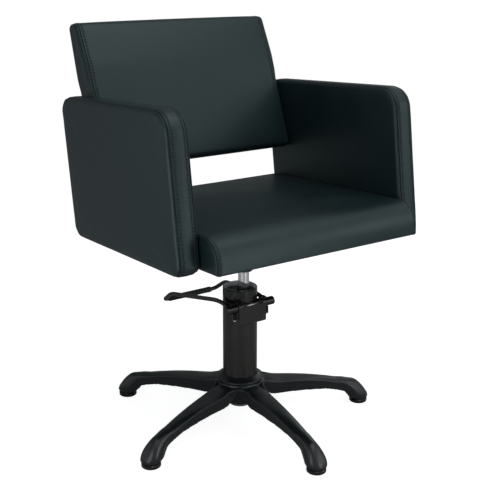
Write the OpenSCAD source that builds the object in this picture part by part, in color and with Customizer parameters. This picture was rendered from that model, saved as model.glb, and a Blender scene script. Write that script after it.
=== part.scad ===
// Hairdressing chair on a foot-pumped column with a five-legged star base.
// Millimetres. The origin is on the floor under the column's axis, +Z up, and the sitter faces -Y.
// The upholstered unit is drawn level in its own frame and tips back about the top of the column.

/* [Star base] */
// Radius of the circle through the five glides
glide_circle_r = 295; // [265:5:330]
// Width of a leg where it leaves the hub
leg_root_w = 54; // [48:1:58]
// Height of a leg's ridge where it leaves the hub
leg_root_z = 97; // [94:1:103]
// Wall of the hollow legs
leg_wall = 4; // [3:0.5:5]
// Height of a leg's crowned top above its side beads
leg_crown = 7; // [4:1:9]
// Reach of a foot past the centre of its glide
foot_nose = 22; // [20:1:27]
// Width of a foot over its glide
foot_w = 45.5; // [43:0.5:50]
// Radius of the hub's shoulder
hub_r = 51; // [48:1:54]
// Radius of the boss under the hub
boss_r = 35; // [33:1:37]
// Height of the boss's lower end above the floor
boss_bottom_z = 41; // [34:1:50]

/* [Glides] */
// Radius of a glide
glide_r = 21; // [18:0.5:22]
// Height of a glide from the floor to the foot
glide_h = 13; // [11:1:15]
// Radius of a glide's stem
glide_stem_r = 5; // [4:0.5:6]
// Length of a glide's stem inside the foot
glide_stem_l = 14; // [10:1:18]

/* [Column] */
// Outer radius of the column
tube_r = 39; // [37:0.5:40]
// Wall of the column
tube_wall = 4; // [3.5:0.5:5]
// Height of the column's top above the floor
tube_top_z = 292; // [280:2:310]
// Radius of the taper that sits in the hub, at its top
taper_r = 28; // [26:0.5:29]
// Narrowing of that taper from its top to its end
taper_fall = 1.2; // [0.8:0.1:1.6]
// Height of the cap on the column
cap_h = 28; // [24:1:32]
// Running play of turned fits, on the radius
play = 0.05; // [0.03:0.01:0.08]

/* [Lift] */
// Radius of the piston rod
rod_r = 12.5; // [11.5:0.5:13.5]
// Offset of the lift to the left of the column's axis, seen from the front
lift_x = 9.7; // [0:0.1:10.5]
// Travel of the lift
lift_travel = 130; // [100:5:140]
// Bore radius of the pressure cylinder
cylinder_bore_r = 17; // [16:0.5:17.5]
// Wall of the pressure cylinder
cylinder_wall = 3; // [2:0.5:3.5]
// Height of the piston head
piston_h = 24; // [22:1:30]

/* [Pump head] */
// Width of the pump housing
block_w = 72; // [68:1:74]
// Height of the pump housing
block_h = 43; // [40:1:50]
// Distance of the pedal shaft in front of the column's axis
shaft_y = 39; // [38:0.5:40]
// Distance of the pedal shaft below the column's top
shaft_drop = 6.5; // [6.5:0.5:8]
// Radius of the pedal shaft
shaft_r = 4.5; // [4:0.5:4.5]
// Radius of the bearing cheeks round the shaft
cheek_r = 12.5; // [11.5:0.5:13]
// Thickness of a bearing cheek
cheek_t = 8; // [6:0.5:8]

/* [Pedal] */
// Radius of the pedal's hubs
pedal_hub_r = 9.5; // [9:0.5:11]
// Length of a pedal hub
pedal_hub_l = 22.5; // [20:0.5:26]
// Radius of the pedal's bar
bar_r = 5; // [4:0.5:5.5]
// Half the width of the pedal at its rear bar
pedal_half_w = 72; // [66:1:84]
// Distance of the rear bar behind the column's axis
pedal_reach = 221; // [205:2:237]
// Height of the rear bar above the floor
pedal_z = 233; // [225:1:245]
// Drop of the rear bar below the cranks in the pedal's arms
pedal_drop = 29; // [20:1:36]
// Radius of the rubber sleeve on the rear bar
sleeve_r = 7; // [6.5:0.5:8.5]

/* [Seat] */
// Height of the seat's underside at the column's axis
seat_under_z = 454; // [446:2:480]
// Tip of the upholstered unit, front edge up
unit_tilt = 3.5; // [0:0.5:5]
// Half the width of the seat cushion
seat_half_w = 247; // [225:1:262]
// Distance of the seat's front edge in front of the arms
seat_lead = 50; // [34:1:64]
// Distance of the seat's rear edge in front of the arms' rear edge
seat_short = 6; // [2:1:14]
// Thickness of the seat cushion at its edges
seat_t = 69; // [64:1:85]
// Rise of the seat cushion's crown
seat_crown = 7; // [3:1:12]
// Radius of the seat's rolled front edge
seat_nose_r = 44; // [25:1:46]
// Thickness of the seat board
board_t = 18; // [15:1:20]
// Thickness of the seat plate
plate_t = 5; // [4:0.5:8]
// Width of the seat plate
plate_w = 190; // [170:5:210]

/* [Arms] */
// Depth of an arm along its lower edge
arm_depth = 458; // [430:2:470]
// Height of an arm
arm_h = 303; // [280:1:330]
// Distance of an arm's lower front corner in front of the column's axis
arm_front = 246; // [232:2:252]
// Drop of an arm's lower edge below the seat's underside
arm_drop = 6; // [3:1:12]
// Backward lean of an arm's front and rear edges over its height
arm_lean = 26; // [10:1:32]
// Width of the band round an arm
arm_band_w = 38; // [32:1:46]
// Thickness of an arm's outer pad
outer_pad_t = 8; // [6:0.5:11]
// Thickness of an arm's inner pad
inner_pad_t = 6; // [5:0.5:8]
// Gap between the seat cushion and an arm
arm_gap = 1; // [1:0.5:3]

/* [Back] */
// Distance of the back's lower front edge in front of the arms' rear edge
back_lead = 79; // [72:1:87]
// Drop of the back's lower edge below the arms' top edge
back_drop = 156; // [146:1:166]
// Height of the back
back_h = 309; // [280:1:340]
// Thickness of the back along its lower edge
back_low_t = 80; // [76:1:86]
// Thickness of the back along its top edge
back_top_t = 40; // [37:1:44]
// Backward lean of the back's front face over its height
back_lean = 110; // [95:1:118]
// Rise of the back cushion's crown
back_crown = 5; // [2:1:8]
// Thickness of the board inside the back
back_board_t = 16; // [14:1:18]

/* [Hidden] */

$fn = 64;
// Overrun of a cut past the face that it opens
over = 1;
// Gap between a moving piece and its neighbour
gap = 0.3;
// Clearance of a bolt or rod in its hole, on the radius
ease = 0.2;

// Star base: places along a leg. The first list runs from the hub to the neck, as shares of that
// length, and the second over the foot, as shares of its nose from the centre of the glide.
leg_count = 5;
base_turn = -1.2;
leg_start_r = 30;
leg_shares = [0, 0.12, 0.18, 0.28, 0.45, 0.62, 0.8, 1];
foot_shares = [-1.15, -0.7, -0.3, 0.1, 0.45, 0.72, 0.9, 1];
neck_r = glide_circle_r - 1.75 * foot_nose;
// Half widths, ridge heights and skirt heights, as shares of the leg's root or of the foot
leg_w_shares = [1, 0.98, 0.93, 0.84, 0.72, 0.63, 0.57, 0.57];
foot_w_shares = [0.76, 0.9, 0.98, 1, 0.9, 0.72, 0.5, 0.22];
leg_ridge_shares = [1.01, 0.99, 0.965, 0.93, 0.885, 0.835, 0.76, 0.725];
foot_ridge_shares = [0.675, 0.61, 0.54, 0.44, 0.335, 0.25, 0.2, 0.165];
leg_skirt_shares = [0.86, 0.74, 0.565, 0.545, 0.535, 0.51, 0.475, 0.36];
leg_crown_shares = [1, 1, 1, 1, 1, 1, 1, 1.3];
foot_crown_shares = [0.5, 0.75, 0.85, 0.85, 0.85, 0.85, 0.85, 0.85];
leg_arc_n = 8;
shoulder_rise = 15;
shoulder_step = 3;
shoulder_z = leg_root_z + shoulder_step;
hub_web_t = 12;
hub_flare = 4;
hub_web_r = hub_r + hub_flare;
hub_lip = 2;
glide_pad_h = 9;
glide_waist_step = 4;
glide_waist_r = glide_r - glide_waist_step;
glide_waist_h = 2;
glide_chamfer = 1.5;

// Column
seat_of_tube_z = shoulder_z;
taper_low_r = taper_r - taper_fall;
taper_tail = 7;
tail_step = 0.6;
tail_r = taper_low_r - tail_step;
tube_bore_r = tube_r - tube_wall;
spigot_bore_r = 23;
spigot_low_z = boss_bottom_z - taper_tail;
plug_h = 10;
plug_key_r = 6;
plug_key_h = 5;
washer_t = 1.5;
washer_w = 6;
circlip_t = 1.6;
circlip_w = 4.5;
circlip_depth = 1.5;
circlip_gap_w = 9;
neck_h = 11;
neck_w = 2;
cylinder_r = cylinder_bore_r + cylinder_wall;
cylinder_foot_t = 4;
cylinder_foot_z = seat_of_tube_z + tube_wall;
cylinder_low_z = cylinder_foot_z + cylinder_foot_t;
guide_sink = 2;
guide_seat_z = tube_top_z - guide_sink;
guide_flange_h = 10;
cap_bevel = 1.5;
cap_rim_w = 3.5;
cap_dish = 12;
wiper_w = 5;
cap_hole_r = rod_r + wiper_w;
collar_h = 10;
collar_w = 3;
collar_top_w = 1.7;

// Pump head
shaft_z = tube_top_z - shaft_drop;
cap_clear = 3;
block_top_z = tube_top_z - cap_clear;
block_low_z = block_top_z - block_h;
block_front_y = -shaft_y - cheek_r;
block_rear_clear = 1;
block_rear_y = -cylinder_r - block_rear_clear;
block_bottom_chamfer = 3;
cheek_in_x = block_w / 2 - cheek_t;
bush_t = 2.5;
bush_lip_t = 0.8;
bush_lip_w = 1.5;
cavity_wall = 2.5;
cavity_half_w = 12;
cavity_h = 17;
plunger_y = -28;
plunger_r = 4;
plunger_head_r = 6;
plunger_head_h = 3.5;
plunger_l = 24;
spring_well_r = 6.6;
spring_well_h = 11;
spring_wire_r = 0.7;
spring_coil_r = 5.2;
spring_turns = 4.5;
stem_well_depth = 5;
trough_gap = 1;
cam_gap = 0.5;
cam_hub_r = shaft_drop - cam_gap;
cam_nose_r = 4;
cam_w = 14;
cam_web_share = 0.85;
cam_nose_y = plunger_y + shaft_y;
cam_nose_drop = 4;
plunger_top_z = shaft_z - cam_nose_drop - cam_nose_r - gap;
well_low_z = plunger_top_z - plunger_head_h - spring_well_h;
seal_w = 1.2;
seal_h = 2.5;

// Pedal
hub_in_x = block_w / 2 + bush_lip_t + gap;
hub_out_x = hub_in_x + pedal_hub_l;
bar_hub_x = hub_in_x + pedal_hub_l / 2;
bar_knee_rise = 4;
bar_knee_y = 2;
bar_knee_bend = 24;
bar_corner_bend = 12;
bar_crank_bend = 15;
crank_out = 4;
crank_l = 41;
bar_socket_l = 9;
socket_wall = 2.5;
hub_cap_t = 3;
hub_cap_lip = 1;
hub_screw_r = 2.5;
hub_screw_head_r = 4;
hub_screw_head_l = 16;
hub_screw_y = 4.5;
hub_screw_x = 5.5;
hub_screw_drop = 21;
sleeve_end_gap = 12;
sleeve_groove_n = 12;
sleeve_groove_w = 3;
sleeve_groove_d = 0.8;
sleeve_round = 2;
bar_sides = 12;
bend_n = 6;

// Lift
piston_rest_gap = 2;
lift_spare = 1;
piston_low_z = cylinder_low_z + piston_rest_gap;
piston_r = cylinder_bore_r - play;
journal_r = 8;
clip_recess_r = 11.5;
clip_recess_h = 3.4;
clip_t = 1.5;
clip_w = 2;
clip_tail = 0.8;
groove_h = 3;
groove_d = 2.5;
groove_zs_shares = [0.35, 0.7];
thrust_t = 2;
guide_spigot_l = guide_seat_z - piston_low_z - piston_h - thrust_t - lift_travel - lift_spare;
socket_drop = 98;
socket_low_z = seat_under_z - socket_drop;
socket_l = 46;
rod_taper_fall = 0.8;
rod_top_z = socket_low_z + socket_l;

// Seat, placed between the arms
seat_front = arm_front + seat_lead;
seat_rear = arm_depth - arm_front - seat_short;
plate_corner_r = 12;
plate_hole_pitch = 140;
plate_bolt_r = 4;
plate_bolt_l = 17;
bolt_head_h = 5.5;
bolt_head_r = 7.5;
plate_slot_l = 8;
socket_r = 20;
socket_drift_r = 6;
rib_t = 5;
rib_reach = 62;
rib_h = 50;
board_margin_x = 8;
board_front_margin = 42;
board_rear_margin = 14;
rail_w = 40;
rail_h = 30;
rail_inset = 10;
dust_t = 1;
dust_inset = 7;
seat_edge_r = 5;
seat_low_r = 5;
seat_rear_r = 14;
seat_side_bulge = 1;

// Arms
arm_in_x = seat_half_w + arm_gap;
band_in_x = arm_in_x + inner_pad_t;
band_out_x = band_in_x + arm_band_w;
arm_corner_rs = [24, 30, 32, 47];
band_t = 7;
arm_rail_w = 48;
arm_draw = 2;
outer_crown = 3;
inner_crown = 1.5;
bolt_r = 4;
washer_r = 9;
bolt_well_h = 8;
seat_bolt_y_shares = [0.2, 0.5, 0.8];
seat_bolt_z = board_t + rail_h / 2;
seat_bolt_l = 34;
back_bolt_z_shares = [0.12, 0.36];
back_bolt_l = 30;

// Back, placed between the arms
back_front = arm_depth - arm_front - back_lead;
back_low = arm_h - arm_drop - back_drop;
back_knee_share = 0.72;
back_knee_lean_share = 0.648;
back_corner_r = 12;
back_knee_r = 120;
back_edge_r = 9;
// Shares of the side rounding that each edge takes, least along the seam between the two cushions
front_round_shares = [1, 0.15, 1, 1, 1];
rear_round_shares = [1, 1, 1, 0.15];
back_rear_t = 20;
back_split_r = 3;
back_seam_gap = 0.1;
back_board_margin = 20;
back_half_w = seat_half_w;

// Counts of points on the soft forms
arc_n = 4;
edge_n = 3;
round_n = 3;
face_shares = [0.8, 0.5];

rubber = [0.07, 0.07, 0.08];
vinyl = [0.13, 0.16, 0.17];
vinyl_light = [0.17, 0.2, 0.21];
casting = [0.16, 0.17, 0.19];
paint = [0.2, 0.2, 0.2];
black_plastic = [0.06, 0.06, 0.07];
chrome = [0.82, 0.83, 0.85];
steel = [0.62, 0.63, 0.65];
timber = [0.76, 0.6, 0.4];
cloth = [0.1, 0.1, 0.1];

// Small helpers for points

function unit_of(v) = v / norm(v);
function flat(lists) = [for (l = lists) each l];
function left_of(d) = [-d[1], d[0]];

// Corner i of a closed outline, cut by a round of radius r into n + 1 points
function corner_arc(a, c, b, r, n) =
    let (u = unit_of(a - c), w = unit_of(b - c), half = acos(u * w) / 2,
        centre = c + unit_of(u + w) * r / sin(half), s = c + u * r / tan(half) - centre,
        turn = 180 - 2 * half, from = atan2(s[1], s[0]))
    [for (i = [0:n]) centre + r * [cos(from + turn * i / n), sin(from + turn * i / n)]];

// Corners of an outline whose edges move inwards, edge i from corner i to the next by d[i]
function inset_corners(p, d) =
    [for (i = [0:len(p) - 1])
        let (m = len(p), u = unit_of(p[(i + m - 1) % m] - p[i]), w = unit_of(p[(i + 1) % m] - p[i]))
        p[i] + (u * d[i] + w * d[(i + m - 1) % m]) / sin(acos(u * w))];

// Points between two ends of an edge, drawn in at the middle
function drawn_edge(a, b, draw, n) =
    let (inward = left_of(unit_of(b - a)))
    [for (j = [1:n]) a + (b - a) * j / (n + 1) + inward * draw * sin(180 * j / (n + 1))];

// Outline with rounded corners and drawn-in edges, counter-clockwise. Each edge is moved inwards by
// its own inset, and each corner's radius shrinks by the larger inset beside it.
function outline(corners, radii, insets, draw) =
    let (p = inset_corners(corners, insets), m = len(p),
        arcs = [for (i = [0:m - 1])
            corner_arc(p[(i + m - 1) % m], p[i], p[(i + 1) % m],
                max(radii[i] - max(insets[i], insets[(i + m - 1) % m]), radii[i] / 5), arc_n)])
    flat([for (i = [0:m - 1])
        concat(arcs[i], drawn_edge(arcs[i][arc_n], arcs[(i + 1) % m][0], draw, edge_n))]);

function centre_of(p) = [for (q = p) 1] * p / len(p);
function even(p, d) = [for (q = p) d];

// Outward normals of a closed outline
function outward(p) =
    [for (i = [0:len(p) - 1])
        -left_of(unit_of(p[(i + 1) % len(p)] - p[(i + len(p) - 1) % len(p)]))];

// Ring of an outline in the plane at one x
function ring_at(p, x) = [for (q = p) [x, q[0], q[1]]];

// Triangles of a tube of rings, closed by a fan to a tip at each end
module skin(first_tip, rings, last_tip) {
    n = len(rings[0]);
    m = len(rings);
    last = n * m + 1;
    polyhedron(
        points = concat([first_tip], flat(rings), [last_tip]),
        faces = concat(
            [for (i = [0:n - 1]) [0, 1 + i, 1 + (i + 1) % n]],
            [for (k = [0:m - 2]) for (i = [0:n - 1])
                let (a = 1 + k * n + i, b = 1 + k * n + (i + 1) % n)
                each [[a, a + n, b + n], [a, b + n, b]]],
            [for (i = [0:n - 1]) [last, 1 + (m - 1) * n + (i + 1) % n, 1 + (m - 1) * n + i]]),
        convexity = 6);
}

// Rings of a round bar of radius r along a path, each with its upright reference
function bar_rings(path, ups, r, sides) =
    [for (i = [0:len(path) - 1])
        let (t = unit_of(path[min(i + 1, len(path) - 1)] - path[max(i - 1, 0)]),
            u = unit_of(ups[i] - (ups[i] * t) * t), s = cross(u, t))
        [for (k = [0:sides - 1])
            path[i] + r * (cos(360 * k / sides) * s + sin(360 * k / sides) * u)]];

module bar(path, ups, r, sides) {
    skin(path[0], bar_rings(path, ups, r, sides), path[len(path) - 1]);
}

// Smooth bend at corner c between a and b, starting a given length from the corner
function bend(a, c, b, l, n) =
    let (p = c + unit_of(a - c) * l, q = c + unit_of(b - c) * l)
    [for (i = [0:n]) let (t = i / n) p * pow(1 - t, 2) + c * 2 * t * (1 - t) + q * pow(t, 2)];

module ring(r_in, r_out, z0, z1) {
    rotate_extrude() translate([r_in, z0]) square([r_out - r_in, z1 - z0]);
}

module disc(r, z0, z1) {
    translate([0, 0, z0]) cylinder(r = r, h = z1 - z0);
}

// Cylinder along X
module x_rod(r, x0, x1) {
    translate([x0, 0, 0]) rotate([0, 90, 0]) cylinder(r = r, h = x1 - x0);
}

// Outline in Y and Z carried along X
module along_x(x0, x1) {
    translate([x0, 0, 0]) rotate([90, 0, 90]) linear_extrude(x1 - x0) children();
}

module at_shaft() {
    translate([0, -shaft_y, shaft_z]) children();
}

module at_lift() {
    translate([lift_x, 0, 0]) children();
}

// The upholstered unit's own level frame, with its origin under the seat on the column's axis
module unit() {
    translate([0, 0, seat_under_z]) rotate([-unit_tilt, 0, 0]) children();
}

// Star base

function leg_angle(i) = i * 360 / leg_count - 90 + base_turn;
function leg_rs() = concat(
    [for (s = leg_shares) leg_start_r + (neck_r - leg_start_r) * s],
    [for (s = foot_shares) glide_circle_r + foot_nose * s]);
function leg_half_ws() = concat(leg_w_shares * leg_root_w / 2, foot_w_shares * foot_w / 2);
function leg_ridges() = concat(leg_ridge_shares, foot_ridge_shares) * leg_root_z;
function leg_skirts() = concat(leg_skirt_shares * leg_root_z, [for (s = foot_shares) glide_h]);
function leg_crowns() = concat(leg_crown_shares * leg_crown,
    [for (i = [0:len(foot_shares) - 1])
        foot_crown_shares[i] * (foot_ridge_shares[i] * leg_root_z - glide_h)]);

// Outer line of a leg's section: up one side, over the crown and down the other
function leg_outer(w, ridge, skirt, crown) = concat(
    [[w, skirt]],
    [for (k = [0:leg_arc_n]) [w * cos(180 * k / leg_arc_n), ridge - crown + crown * sin(180 * k / leg_arc_n)]],
    [[-w, skirt]]);

// Inner line of the section: the channel under a leg, or a flat sole under a foot
function leg_inner(outer, w, skirt, hollow) =
    [for (i = [len(outer) - 1:-1:0])
        let (q = outer[i], end = i == 0 || i == len(outer) - 1)
        [q[0] * (w - leg_wall) / w,
            end || !hollow ? skirt : max(skirt, q[1] - leg_wall)]];

module leg() {
    rs = leg_rs();
    ws = leg_half_ws();
    ridges = leg_ridges();
    skirts = leg_skirts();
    crowns = leg_crowns();
    half_n = leg_arc_n + 3;
    n = 2 * half_n;
    m = len(rs);
    rings = [for (i = [0:m - 1])
        let (o = leg_outer(ws[i], ridges[i], skirts[i], crowns[i]))
        ring_at(concat(o, leg_inner(o, ws[i], skirts[i], i < len(leg_shares))), rs[i])];
    ends = [for (j = [0:half_n - 2]) [j, j + 1, n - 2 - j, n - 1 - j]];
    polyhedron(
        points = flat(rings),
        faces = concat(
            flat([for (e = ends) [[e[0], e[1], e[2]], [e[0], e[2], e[3]]]]),
            [for (k = [0:m - 2]) for (i = [0:n - 1])
                let (a = k * n + i, b = k * n + (i + 1) % n)
                each [[a, a + n, b + n], [a, b + n, b]]],
            flat([for (e = ends) let (z = (m - 1) * n)
                [[z + e[0], z + e[2], z + e[1]], [z + e[0], z + e[3], z + e[2]]]])),
        convexity = 8);
}

module hub() {
    rotate_extrude() polygon([
        [taper_low_r - hub_lip, boss_bottom_z], [boss_r, boss_bottom_z],
        [boss_r, shoulder_z - hub_web_t], [hub_web_r - hub_lip, shoulder_z - hub_web_t],
        [hub_web_r, shoulder_z - hub_web_t + hub_lip], [hub_web_r, shoulder_z - hub_lip * 2],
        [hub_r, shoulder_z], [hub_r, shoulder_z + hub_lip],
        [tube_r + hub_lip, shoulder_z + shoulder_rise], [taper_low_r - hub_lip, shoulder_z + shoulder_rise]]);
}

module hub_bore() {
    translate([0, 0, boss_bottom_z])
        cylinder(r1 = taper_low_r + play, r2 = taper_r + play, h = seat_of_tube_z - boss_bottom_z);
    disc(taper_low_r, boss_bottom_z - over, boss_bottom_z + over);
    disc(tube_r + play, seat_of_tube_z, shoulder_z + shoulder_rise + over);
}

module star_base() {
    color(casting) difference() {
        union() {
            hub();
            for (i = [0:leg_count - 1]) rotate(leg_angle(i)) leg();
        }
        hub_bore();
        for (i = [0:leg_count - 1]) rotate(leg_angle(i))
            translate([glide_circle_r, 0, 0]) disc(glide_stem_r, glide_h - over, glide_h + glide_stem_l + over);
    }
}

module glide(i) {
    color(black_plastic) rotate(leg_angle(i)) translate([glide_circle_r, 0, 0])
        rotate_extrude() polygon([
            [0, 0], [glide_r - glide_chamfer, 0], [glide_r, glide_chamfer], [glide_r, glide_pad_h - glide_chamfer],
            [glide_r - glide_chamfer, glide_pad_h], [glide_waist_r, glide_pad_h],
            [glide_waist_r, glide_pad_h + glide_waist_h], [glide_r - glide_chamfer, glide_pad_h + glide_waist_h],
            [glide_r - glide_chamfer, glide_h], [glide_stem_r, glide_h],
            [glide_stem_r, glide_h + glide_stem_l], [0, glide_h + glide_stem_l]]);
}

// Column

module block_window() {
    translate([-tube_r, block_front_y - over, block_low_z])
        cube([2 * tube_r, block_rear_y - block_front_y + over, tube_top_z - block_low_z]);
}

module pump_tube() {
    color(paint) difference() {
        rotate_extrude() polygon([
            [spigot_bore_r, spigot_low_z], [tail_r, spigot_low_z], [tail_r, boss_bottom_z],
            [taper_low_r, boss_bottom_z], [taper_r, seat_of_tube_z], [tube_r, seat_of_tube_z],
            [tube_r, tube_top_z], [tube_bore_r + neck_w, tube_top_z], [tube_bore_r + neck_w, tube_top_z + neck_h],
            [tube_bore_r, tube_top_z + neck_h], [tube_bore_r, seat_of_tube_z + tube_wall],
            [spigot_bore_r, seat_of_tube_z + tube_wall]]);
        block_window();
        circlip_groove();
    }
}

circlip_z = boss_bottom_z - washer_t - circlip_t;

module circlip_groove() {
    ring(tail_r - circlip_depth, tail_r + over, circlip_z, circlip_z + circlip_t);
}

module base_washer() {
    color(steel) ring(tail_r + play, tail_r + washer_w, boss_bottom_z - washer_t, boss_bottom_z);
}

module base_circlip() {
    color(steel) difference() {
        ring(tail_r - circlip_depth, tail_r - circlip_depth + circlip_w, circlip_z, circlip_z + circlip_t);
        translate([-circlip_gap_w / 2, 0, circlip_z - over])
            cube([circlip_gap_w, tail_r + circlip_w, circlip_t + 2 * over]);
    }
}

module tube_plug() {
    color(steel) difference() {
        disc(spigot_bore_r, spigot_low_z, spigot_low_z + plug_h);
        translate([0, 0, spigot_low_z - over]) cylinder(r = plug_key_r, h = plug_key_h + over, $fn = 6);
    }
}

// Pressure cylinder, on a round foot that centres it beside the column's axis
module inner_cylinder() {
    color(steel) union() {
        disc(tube_bore_r - play, cylinder_foot_z, cylinder_low_z);
        at_lift() ring(cylinder_bore_r, cylinder_r, cylinder_low_z - over, guide_seat_z);
    }
}

// Guide of the rod, whose spigot stops the piston at the end of its travel
module rod_guide() {
    color(steel) difference() {
        union() {
            disc(tube_bore_r - play, guide_seat_z, guide_seat_z + guide_flange_h);
            at_lift() disc(cylinder_bore_r - play, guide_seat_z - guide_spigot_l, guide_seat_z + over);
        }
        at_lift() disc(rod_r + play, guide_seat_z - guide_spigot_l - over, guide_seat_z + guide_flange_h + over);
    }
}

// Cap, an open cup with the rod's hole in its floor
module cylinder_cap() {
    top_z = tube_top_z + cap_h;
    color(black_plastic) difference() {
        rotate_extrude() polygon([
            [tube_bore_r + neck_w + play, tube_top_z], [tube_r, tube_top_z], [tube_r, top_z - cap_bevel],
            [tube_r - cap_bevel, top_z], [tube_r - cap_rim_w, top_z], [tube_r - cap_rim_w, top_z - cap_dish],
            [0, top_z - cap_dish], [0, guide_seat_z + guide_flange_h],
            [tube_bore_r, guide_seat_z + guide_flange_h], [tube_bore_r, tube_top_z + neck_h + play],
            [tube_bore_r + neck_w + play, tube_top_z + neck_h + play]]);
        at_lift() disc(cap_hole_r, guide_seat_z + guide_flange_h - over, top_z);
    }
}

module rod_wiper() {
    low_z = guide_seat_z + guide_flange_h;
    floor_z = tube_top_z + cap_h - cap_dish;
    color(rubber) at_lift() rotate_extrude() polygon([
        [rod_r + play, low_z], [cap_hole_r, low_z], [cap_hole_r, floor_z], [rod_r + collar_w, floor_z],
        [rod_r + collar_top_w, floor_z + collar_h], [rod_r + play, floor_z + collar_h]]);
}

// Pump head

module cheek(x0) {
    translate([0, -shaft_y, shaft_z]) x_rod(cheek_r, x0, x0 + cheek_t);
    translate([x0, block_front_y, shaft_z - block_h / 2]) cube([cheek_t, 2 * cheek_r, block_h / 2]);
}

module block_profile() {
    polygon([
        [block_front_y, block_low_z + block_bottom_chamfer], [block_front_y + block_bottom_chamfer, block_low_z],
        [block_rear_y, block_low_z], [block_rear_y, block_top_z], [block_front_y, block_top_z]]);
}

module pump_housing() {
    trough_r = shaft_r + trough_gap;
    color(paint) difference() {
        union() {
            along_x(-block_w / 2, block_w / 2) block_profile();
            cheek(-block_w / 2);
            cheek(cheek_in_x);
        }
        at_shaft() x_rod(shaft_r + bush_t, -block_w, block_w);
        // Room for the cam, open at the top between the cheeks
        translate([-cavity_half_w, block_front_y + cavity_wall, block_top_z - cavity_h])
            cube([2 * cavity_half_w, block_rear_y - block_front_y - cavity_wall + over, cavity_h + over]);
        // Trough for the shaft
        translate([-cheek_in_x, -shaft_y - trough_r, shaft_z - trough_r])
            cube([2 * cheek_in_x, block_rear_y + shaft_y + trough_r + over, cavity_h]);
        translate([0, plunger_y, 0]) {
            disc(plunger_r + play, plunger_top_z - plunger_l - stem_well_depth, block_top_z);
            disc(spring_well_r, well_low_z, block_top_z);
        }
    }
}

module shaft_bush(x0, out) {
    x_out = out > 0 ? x0 + cheek_t : x0 - bush_lip_t;
    difference() {
        union() {
            x_rod(shaft_r + bush_t, x0, x0 + cheek_t);
            x_rod(shaft_r + bush_t + bush_lip_w, x_out, x_out + bush_lip_t);
        }
        x_rod(shaft_r + play, x0 - bush_lip_t - over, x0 + cheek_t + bush_lip_t + over);
    }
}

module shaft_bushes() {
    color(steel) at_shaft() {
        shaft_bush(-block_w / 2, -1);
        shaft_bush(cheek_in_x, 1);
    }
}

// Return spring round the plunger's stem, one unbroken coil
module plunger_spring() {
    low = well_low_z + spring_wire_r;
    high = plunger_top_z - plunger_head_h - gap - spring_wire_r;
    steps = 10;
    count = floor(spring_turns * steps);
    path = [for (i = [0:count])
        [spring_coil_r * cos(360 * i / steps), spring_coil_r * sin(360 * i / steps), low + (high - low) * i / count]];
    ups = [for (p = path) [p[0], p[1], 0]];
    echo(spring_gap = (high - low) / spring_turns - 2 * spring_wire_r);
    color(steel) translate([0, plunger_y, 0]) bar(path, ups, spring_wire_r, 6);
}

module plunger() {
    color(steel) translate([0, plunger_y, 0]) difference() {
        union() {
            disc(plunger_r, plunger_top_z - plunger_l, plunger_top_z - plunger_head_h / 2);
            disc(plunger_head_r, plunger_top_z - plunger_head_h, plunger_top_z);
        }
        plunger_groove();
    }
}

module plunger_groove() {
    low = plunger_top_z - plunger_l + seal_h;
    ring(plunger_r - seal_w, plunger_r + over, low, low + seal_h);
}

module plunger_seal() {
    low = plunger_top_z - plunger_l + seal_h;
    color(rubber) translate([0, plunger_y, 0]) ring(plunger_r - seal_w, plunger_r, low, low + seal_h);
}

// Pedal

module pedal_shaft() {
    color(steel) at_shaft() x_rod(shaft_r, -hub_out_x, hub_out_x);
}

// Cam: a hub round the shaft and a nose over the plunger, joined by a tapered web
module pump_cam() {
    nose = [cam_nose_y, -cam_nose_drop];
    aside = left_of(unit_of(nose)) * cam_web_share;
    color(steel) at_shaft() difference() {
        union() {
            x_rod(cam_hub_r, -cam_w / 2, cam_w / 2);
            translate([0, nose[0], nose[1]]) x_rod(cam_nose_r, -cam_w / 2, cam_w / 2);
            along_x(-cam_w / 2, cam_w / 2) polygon([
                aside * cam_hub_r, -aside * cam_hub_r,
                nose - aside * cam_nose_r, nose + aside * cam_nose_r]);
        }
        x_rod(shaft_r, -cam_w, cam_w);
    }
}

// Right hub, at +X. The left one is its mirror image.
module pedal_hub() {
    color(black_plastic) difference() {
        union() {
            at_shaft() x_rod(pedal_hub_r, hub_in_x, hub_out_x);
            bar_socket(bar_r + socket_wall);
        }
        at_shaft() x_rod(shaft_r, hub_in_x - over, hub_out_x + over);
        bar_bore();
        hub_screw_place() disc(hub_screw_r, 0, hub_screw_drop);
    }
}

bar_start = [bar_hub_x, -shaft_y + shaft_r + gap, shaft_z];
bar_knee = [bar_hub_x, bar_knee_y, shaft_z + bar_knee_rise];
bar_crank = [pedal_half_w + crank_out, pedal_reach - crank_l, pedal_z + pedal_drop];
bar_corner = [pedal_half_w, pedal_reach, pedal_z];
socket_slope = atan2(bar_knee[2] - bar_start[2], bar_knee[1] - bar_start[1]);

module along_bar_start() {
    translate(bar_start) rotate([socket_slope - 90, 0, 0]) children();
}

module bar_socket(r) {
    along_bar_start() disc(r, 0, pedal_hub_r - shaft_r + bar_socket_l);
}

module bar_bore() {
    along_bar_start() disc(bar_r + ease, 0, pedal_hub_r + bar_socket_l + over);
}

module hub_screw_place() {
    translate([bar_hub_x - hub_screw_x, -shaft_y - hub_screw_y, shaft_z - pedal_hub_r - hub_screw_drop + shaft_r])
        children();
}

module hub_screw() {
    hub_screw_place() {
        disc(hub_screw_head_r, 0, hub_screw_head_l);
        disc(hub_screw_r, 0, hub_screw_drop);
    }
}

module hub_cap() {
    at_shaft() translate([hub_out_x, 0, 0]) rotate([0, 90, 0]) rotate_extrude() polygon([
        [0, 0], [pedal_hub_r, 0], [pedal_hub_r, hub_cap_t - hub_cap_lip],
        [pedal_hub_r - hub_cap_lip, hub_cap_t], [0, hub_cap_t]]);
}

module both_sides() {
    children();
    mirror([1, 0, 0]) children();
}

module hub_caps() {
    color(black_plastic) both_sides() hub_cap();
}

module hub_screws() {
    color(steel) both_sides() hub_screw();
}

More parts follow.
